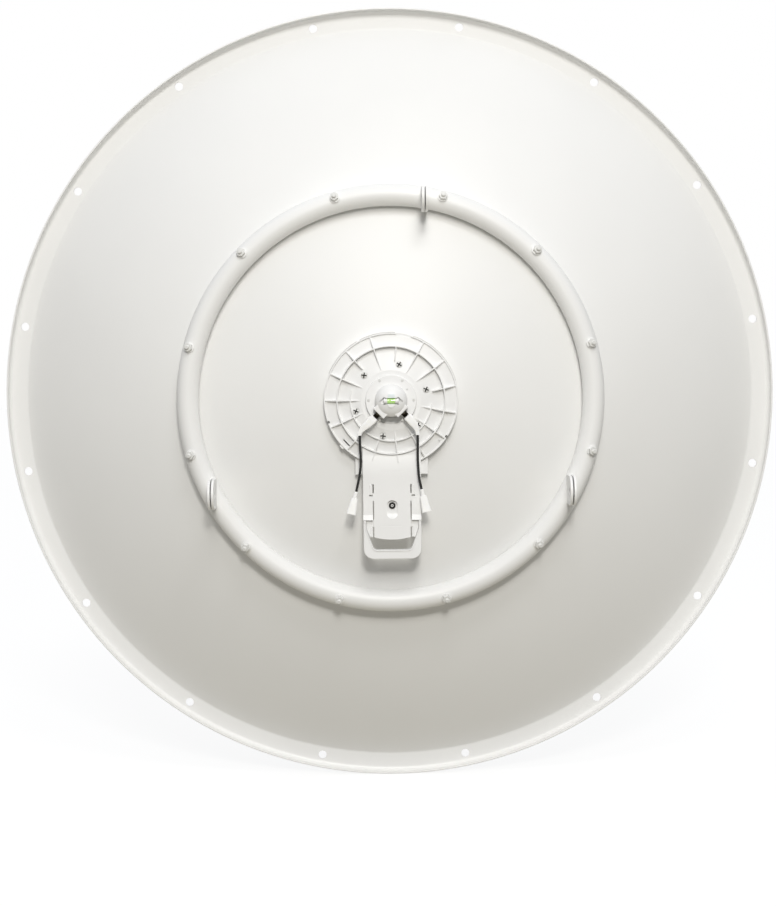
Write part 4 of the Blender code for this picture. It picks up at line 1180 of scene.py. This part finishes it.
class DISH_OT_tray(bpy.types.Operator):
    """Mould the radio tray: plate, ramps, latches, screw slot and lower tongue"""
    bl_idname = "dish.radio_tray"
    bl_label = "Radio tray"

    def execute(self, context):
        sizes = context.scene.dish_tray
        half, rear, back = sizes.half_width, sizes.rear, sizes.rear + sizes.plate
        screw_z = sizes.screw_height
        side = math.degrees(math.asin(half / TRAY_TOP))
        outline = arc((0, 0), TRAY_TOP, 270 + side, 270 - side, 24) + [(-half, TRAY_LOW), (half, TRAY_LOW)]
        tray = plate("tray_plate", outline, rear, TRAY_FRONT_Y)
        wall = 0.0025
        hollow = oblong(wall - half, TRAY_LOW + wall, half - wall, -0.0730)
        combine(tray, [plate("hollow", hollow, back, 0.01)])
        soften(tray, 0.0005, 2, 50)
        shelf_edge = [(0.0334, -0.1520), (0.0334, -0.1630), (0.0290, TONGUE_Z), (TONGUE_HALF, TONGUE_Z)]
        shelf_edge += [(-x, z) for x, z in shelf_edge[::-1]]
        shelf = plate("shelf", shelf_edge, SHELF_Y, SHELF_Y + sizes.plate)
        lower = [(TONGUE_HALF * (1 - i / 8), TONGUE_Z - 0.0033 * (1 - (1 - i / 8) ** 2)) for i in range(17)]
        tongue = plate("tongue", [(TONGUE_HALF, -0.1500)] + lower + [(-TONGUE_HALF, -0.1500)], rear, back)
        soften(tongue, 0.0004, 2, 50)
        combine(tray, [shelf, tongue], 'UNION')
        foot = rear + 0.0015
        for low, high in ((-half, -0.0244), (0.0244, half)):
            ramp = [(foot, -0.1468), (rear, -0.1468), (-0.0212, TRAY_LOW), (foot, TRAY_LOW)]
            combine(tray, [plate("ramp", ramp, low, high, 'X')], 'UNION')
        well = plate("well", slot_outline(screw_z, SLOT_RADIUS + 0.0016), rear + 0.001, -0.0120)
        combine(tray, [well], 'UNION')

        # The tray's upper end dips towards the ring rib.
        depth, top, reach = 0.0026, -0.0700, 0.0280
        curve = [(rear + depth * (1 - i / 10) ** 2, top - reach * i / 10) for i in range(11)]
        curve = [(rear - 0.010, -0.0600), (rear + depth, -0.0600)] + curve + [(rear - 0.010, top - reach)]
        dip = plate("dip", curve, -0.0400, 0.0400, 'X')
        cuts = [dip,
                plate("seat", slot_outline(screw_z, SLOT_RADIUS), OUTSIDE, SLOT_Y),
                peg("shank", (0, OUTSIDE, screw_z), (0, 0, screw_z), 0.0024, 24),
                cross_bar("groove_top", -0.0910, rear), cross_bar("groove_low", -0.1614, rear)]
        for s in (-1, 1):
            for x0, x1, z0, z1 in LATCH_SLITS:
                a, b = sorted((s * x0, s * x1))
                cuts.append(plate("slit", oblong(a, z0, b, z1), OUTSIDE, 0.0))
        combine(tray, cuts)

        # The slot's floor rises to the tray's face at its lower end.
        curve = [(SLOT_Y + (rear - SLOT_Y) * (i / 8) ** 2.4, -0.1430 - 0.0090 * i / 8) for i in range(9)]
        ramp = plate("seat_ramp", curve + [(-0.0125, -0.1525), (-0.0125, -0.1400)], -0.010, 0.010, 'X')
        slot_end = plate("seat_end", slot_outline(screw_z, SLOT_RADIUS + CLEARANCE), OUTSIDE, 0.0)
        combine(ramp, [slot_end], 'INTERSECT')
        combine(tray, [ramp], 'UNION')

        clips = []
        for s in (-1, 1):
            for top, bottom, face in ((-0.1080, -0.1210, rear - 0.0006),
                                      (-0.1628, -0.1752, SHELF_Y - 0.0008)):
                a, b = sorted((s * 0.0251, s * 0.0289))
                clip = plate("clip", oblong(a, bottom, b, top), face, face + 0.0030)
                soften(clip, 0.0005, 2)
                clips.append(clip)
        # Two of the hub's spokes go on for a little way across the tray's dip.
        crest, root, start, end = rear + 0.0001, rear + 0.003, 0.0708, 0.0800
        bar = [(crest, start), (crest, end), (root, end), (root, start)]
        spokes = [shift(plate("spoke_end", bar, -0.0008, 0.0008, 'X'), turn(clock)) for clock in (174, 198)]
        finish_piece(join(tray, *clips, *spokes), "white_moulding", ["radio_tray"], 21)

        seat = (0, SLOT_Y - CLEARANCE, screw_z)
        screw = pan_screw("tray_screw_head", seat, 0.0043, 0.0022, 40, 0.20)
        finish_piece(screw, "black_recess", ["tray_screw"])
        inner, outer, low, high = 0.0008, 0.0018, 0.0015, 0.0025
        boss = turned("tray_screw_boss", rounded([(inner, low), (outer, low, 0.0002), (outer, high, 0.0004),
                                                  (inner, high, 0.0002)], 3), 32, seat, BACKWARDS)
        finish_piece(boss, "pale_zinc")
        return {'FINISHED'}


class DISH_OT_handle(bpy.types.Operator):
    """Mould the loop below the tray"""
    bl_idname = "dish.tray_handle"
    bl_label = "Tray handle"

    def execute(self, context):
        half = context.scene.dish_tray.half_width
        start, end = TRAY_LOW - CLEARANCE, -0.2039

        # The loop's opening follows the tongue, and a lip stands round it; both are drawn for the
        # right half, from the tray down.
        inside = [(0.0340, start), (0.0340, -0.1632, 0.004), (0.0296, -0.1760), (0.0236, -0.1919, 0.006)]
        outside = [(0.0356, start), (0.0356, -0.1630, 0.004), (0.0311, -0.1766), (0.0247, -0.1935, 0.0075)]
        mirrored = [(-x, *rest) for x, *rest in inside]
        loop_edge = [inside[0], (half, start), (half, end, 0.013), (-half, end, 0.013), (-half, start)]
        loop_edge += mirrored + inside[:0:-1]
        loop = plate("tray_loop", rounded(loop_edge, 8), -0.0202, -0.0090)
        soften(loop, 0.0013, 4, 40)
        band = outside + [(-x, *rest) for x, *rest in outside[::-1]] + mirrored + inside[::-1]
        lip = plate("handle_lip", rounded(band, 8), -0.0212, -0.0150)
        soften(lip, 0.0004, 2, 50)
        combine(loop, [lip], 'UNION')
        finish_piece(loop, "white_moulding", ["tray_handle"])
        return {'FINISHED'}


class DISH_OT_feed_front(bpy.types.Operator):
    """Turn the side of the feed that looks along the beam"""
    bl_idname = "dish.feed_front"
    bl_label = "Feed front"

    def execute(self, context):
        sizes = context.scene.dish_feed
        radius, wide = sizes.tube_radius, sizes.cone_radius
        bore, collar_radius, collar_y = radius + 0.0004, 0.060, 0.0100
        seat = [bore + (collar_radius - bore) * i / 6 for i in range(7)]
        seat = [(r, off_bowl(r, -SHEET / 2 - CLEARANCE)[1]) for r in seat]
        side_view = seat + [(collar_radius, collar_y, 0.003), (bore, collar_y)]
        collar = turned("front_collar_ring", rounded(side_view, 5), 96)
        holes = [peg("hole", polar(SCREW_CIRCLE, 0.0075, SCREW_CLOCK + SCREW_STEP * i),
                     polar(SCREW_CIRCLE, 0.02, SCREW_CLOCK + SCREW_STEP * i), 0.0028, 24) for i in range(6)]
        combine(collar, [join(*holes)])
        finish_piece(collar, "white_moulding", ["front_collar"])

        # The tube, with a fine groove near its end, and the cone that carries the sub-reflector
        tube_start, tube_end, groove = -0.0174, 0.2550, radius - 0.0006
        side_view = [(0, tube_start), (radius, tube_start), (radius, 0.244), (groove, 0.245),
                     (groove, 0.2462), (radius, 0.2472), (radius, tube_end), (0, tube_end)]
        tube = turned("feed_tube_shell", side_view, 96, closed=False)
        finish_piece(tube, "white_moulding", ["feed_tube"])
        cone_start, cone_end = tube_end + CLEARANCE, 0.3180
        flare = [(radius + (wide - radius) * (i / 24) ** 1.4, cone_start + (cone_end - cone_start) * i / 24)
                 for i in range(25)]
        cone = turned("feed_cone_shell", [(0, cone_start)] + flare + [(0, cone_end)], 96, closed=False)
        finish_piece(cone, "white_moulding", ["feed_cone"])
        cap_start, cap_end, sunk, edge = cone_end + CLEARANCE, 0.3310, 0.3298, 0.001
        cap = [(0, cap_start), (0.072, cap_start, 0.0006), (0.072, cap_end, 0.003), (0.056, cap_end, edge),
               (0.054, sunk, edge), (0.020, sunk, edge), (0.018, cap_end, edge), (0, cap_end)]
        finish_piece(turned("sub_reflector_cap", rounded(cap, 4), 96, closed=False), "white_powder_coat",
                     ["sub_reflector"])
        return {'FINISHED'}


# Stage

class StageSettings(bpy.types.PropertyGroup):
    """Camera and light of the stage."""
    lens: bpy.props.FloatProperty(name="Lens", description="Focal length for a 36 mm long side",
                                  default=78.42)
    roll: bpy.props.FloatProperty(name="Roll", description="Turn of the camera about its view, in degrees",
                                  default=-0.633)
    fill: bpy.props.FloatProperty(name="Fill", description="Strength of the light from all round",
                                  default=1.0)
    key: bpy.props.FloatProperty(name="Key", description="Strength of the light from the front, above",
                                 default=0.85)
    top: bpy.props.FloatProperty(name="Top", description="Power of the soft box above the camera",
                                 default=17.0, unit='POWER')
    front: bpy.props.FloatProperty(name="Front", description="Power of the small light near the camera",
                                   default=20.0, unit='POWER')


CAMERA_AT = (-0.0176, -2.5383, 0.0921)
CAMERA_AHEAD = (0.00513, 1, -0.06330)
# The light from all round comes from below and from above, and hardly from the side: how high a way
# points, from 0 straight down to 1 straight up, and the colour there
SKY = ((0.22, (0.50, 0.47, 0.39)), (0.29, (0.17, 0.17, 0.17)), (0.71, (0.17, 0.17, 0.17)),
       (0.78, (0.74, 0.76, 0.80)))


def lamp(kind, name, where, power, colour, ahead=None):
    """A light at a point of the dish's directions; without a way of its own it looks at the dish."""
    bpy.ops.object.light_add(type=kind, location=place(*where))
    light = bpy.context.object
    light.name = name
    light.data.energy, light.data.color = power, colour
    ahead = Vector(ahead) if ahead else -Vector(where)
    light.rotation_euler = ahead.to_track_quat('-Z', 'Y').to_euler()
    return light.data


class DISH_OT_stage(bpy.types.Operator):
    """Set up the pale floor, the backdrop, the soft light and the camera"""
    bl_idname = "dish.stage"
    bl_label = "Stage"

    def execute(self, context):
        sizes = context.scene.dish_stage
        scene = context.scene
        scene.view_settings.view_transform = 'Standard'
        scene.view_settings.look = 'None'

        # A floor that glows almost white, so that it shades nothing and still takes a faint shadow
        bare()
        bpy.ops.mesh.primitive_circle_add(vertices=96, radius=14, fill_type='NGON',
                                          location=(DISH.x, DISH.y, REFLECTOR_LOW[2]))
        floor = bpy.context.object
        floor.name = "studio_floor"
        ground, shader, _ = new_finish("pale_floor")
        ground.feed(shader, {"Base Color": (0.2, 0.2, 0.2, 1), "Roughness": 1.0, "Specular IOR Level": 0.0,
                             "Emission Color": (1, 1, 1, 1), "Emission Strength": 0.84})
        floor.data.materials.append(ground.owner)
        floor.visible_diffuse = floor.visible_glossy = False

        # A white backdrop that only the camera sees
        bpy.ops.mesh.primitive_uv_sphere_add(segments=48, ring_count=24, radius=30, location=DISH)
        backdrop = bpy.context.object
        backdrop.name = "studio_backdrop"
        paper = bpy.data.materials.new("white_backdrop")
        sheet = Finish(paper)
        glow = sheet.node('ShaderNodeEmission', None, {"Color": (1, 1, 1, 1), "Strength": 1.0})
        sheet.feed(sheet.nodes["Material Output"], {"Surface": glow})
        sheet.nodes.remove(sheet.nodes["Principled BSDF"])
        backdrop.data.materials.append(paper)
        for way in ("diffuse", "glossy", "transmission", "volume_scatter", "shadow"):
            setattr(backdrop, "visible_" + way, False)

        world = bpy.data.worlds.new("studio_light")
        scene.world = world
        sky = Finish(world)
        up = sky.node('ShaderNodeSeparateXYZ', None, {0: sky.node('ShaderNodeTexCoord')}, 2)
        tone = sky.node('ShaderNodeValToRGB', {"stops": SKY}, {0: up * 0.5 + 0.5})
        sky.feed(sky.nodes["Background"], {"Color": tone, "Strength": sizes.fill})

        key = lamp('SUN', "key_light", (0.2, -3, 1.6), sizes.key, (1.0, 0.98, 0.93), (-0.03, 1.0, -0.54))
        key.angle = math.radians(13)
        softbox = lamp('AREA', "top_softbox", (0.3, -2.1, 2.2), sizes.top, (1, 1, 1))
        softbox.shape = 'RECTANGLE'
        softbox.size, softbox.size_y = 0.9, 0.5
        lamp('AREA', "front_light", (0.15, -2.66, 0.95), sizes.front, (1.0, 0.97, 0.91)).size = 0.25

        bpy.ops.object.camera_add(location=place(*CAMERA_AT))
        camera = bpy.context.object
        camera.name = "photo_camera"
        camera.data.sensor_width = 36
        camera.data.lens = sizes.lens
        camera.data.clip_start, camera.data.clip_end = 0.05, 200
        ahead = Vector(CAMERA_AHEAD).to_track_quat('-Z', 'Y')
        roll = Matrix.Rotation(math.radians(sizes.roll), 3, 'Z')
        camera.rotation_euler = (ahead.to_matrix() @ roll).to_euler()
        scene.camera = camera
        bare()
        return {'FINISHED'}


class DISH_PT_panel(bpy.types.Panel):
    """The dish's settings and its building steps, in the sidebar"""
    bl_label = "Dish antenna"
    bl_space_type = 'VIEW_3D'
    bl_region_type = 'UI'
    bl_category = "Dish"

    def draw(self, context):
        for step in STEPS:
            self.layout.operator(step.bl_idname)
        for name, group in GROUPS.items():
            box = self.layout.box()
            box.label(text=group.__doc__)
            for prop in group.__annotations__:
                box.prop(getattr(context.scene, name), prop)


GROUPS = {"dish_finishes": DishFinishes, "dish_reflector": ReflectorSizes, "dish_ring": RingSizes,
          "dish_hub": HubSizes, "dish_feed": FeedSizes, "dish_leads": LeadSizes, "dish_tray": TraySizes,
          "dish_stage": StageSettings}
STEPS = (DISH_OT_stage, DISH_OT_leads, DISH_OT_connectors, DISH_OT_reflector, DISH_OT_back_ring,
         DISH_OT_lugs, DISH_OT_bolts, DISH_OT_hub, DISH_OT_feed_rear, DISH_OT_bracket, DISH_OT_tray,
         DISH_OT_handle, DISH_OT_feed_front)


def register():
    for name, group in GROUPS.items():
        bpy.utils.register_class(group)
        setattr(bpy.types.Scene, name, bpy.props.PointerProperty(type=group))
    for kind in STEPS + (DISH_PT_panel,):
        bpy.utils.register_class(kind)


def unregister():
    for kind in reversed(STEPS + (DISH_PT_panel,)):
        bpy.utils.unregister_class(kind)
    for name, group in GROUPS.items():
        delattr(bpy.types.Scene, name)
        bpy.utils.unregister_class(group)


def main():
    register()
    for step in STEPS:
        group, name = step.bl_idname.split(".")
        getattr(getattr(bpy.ops, group), name)()


if __name__ == "__main__":
    main()
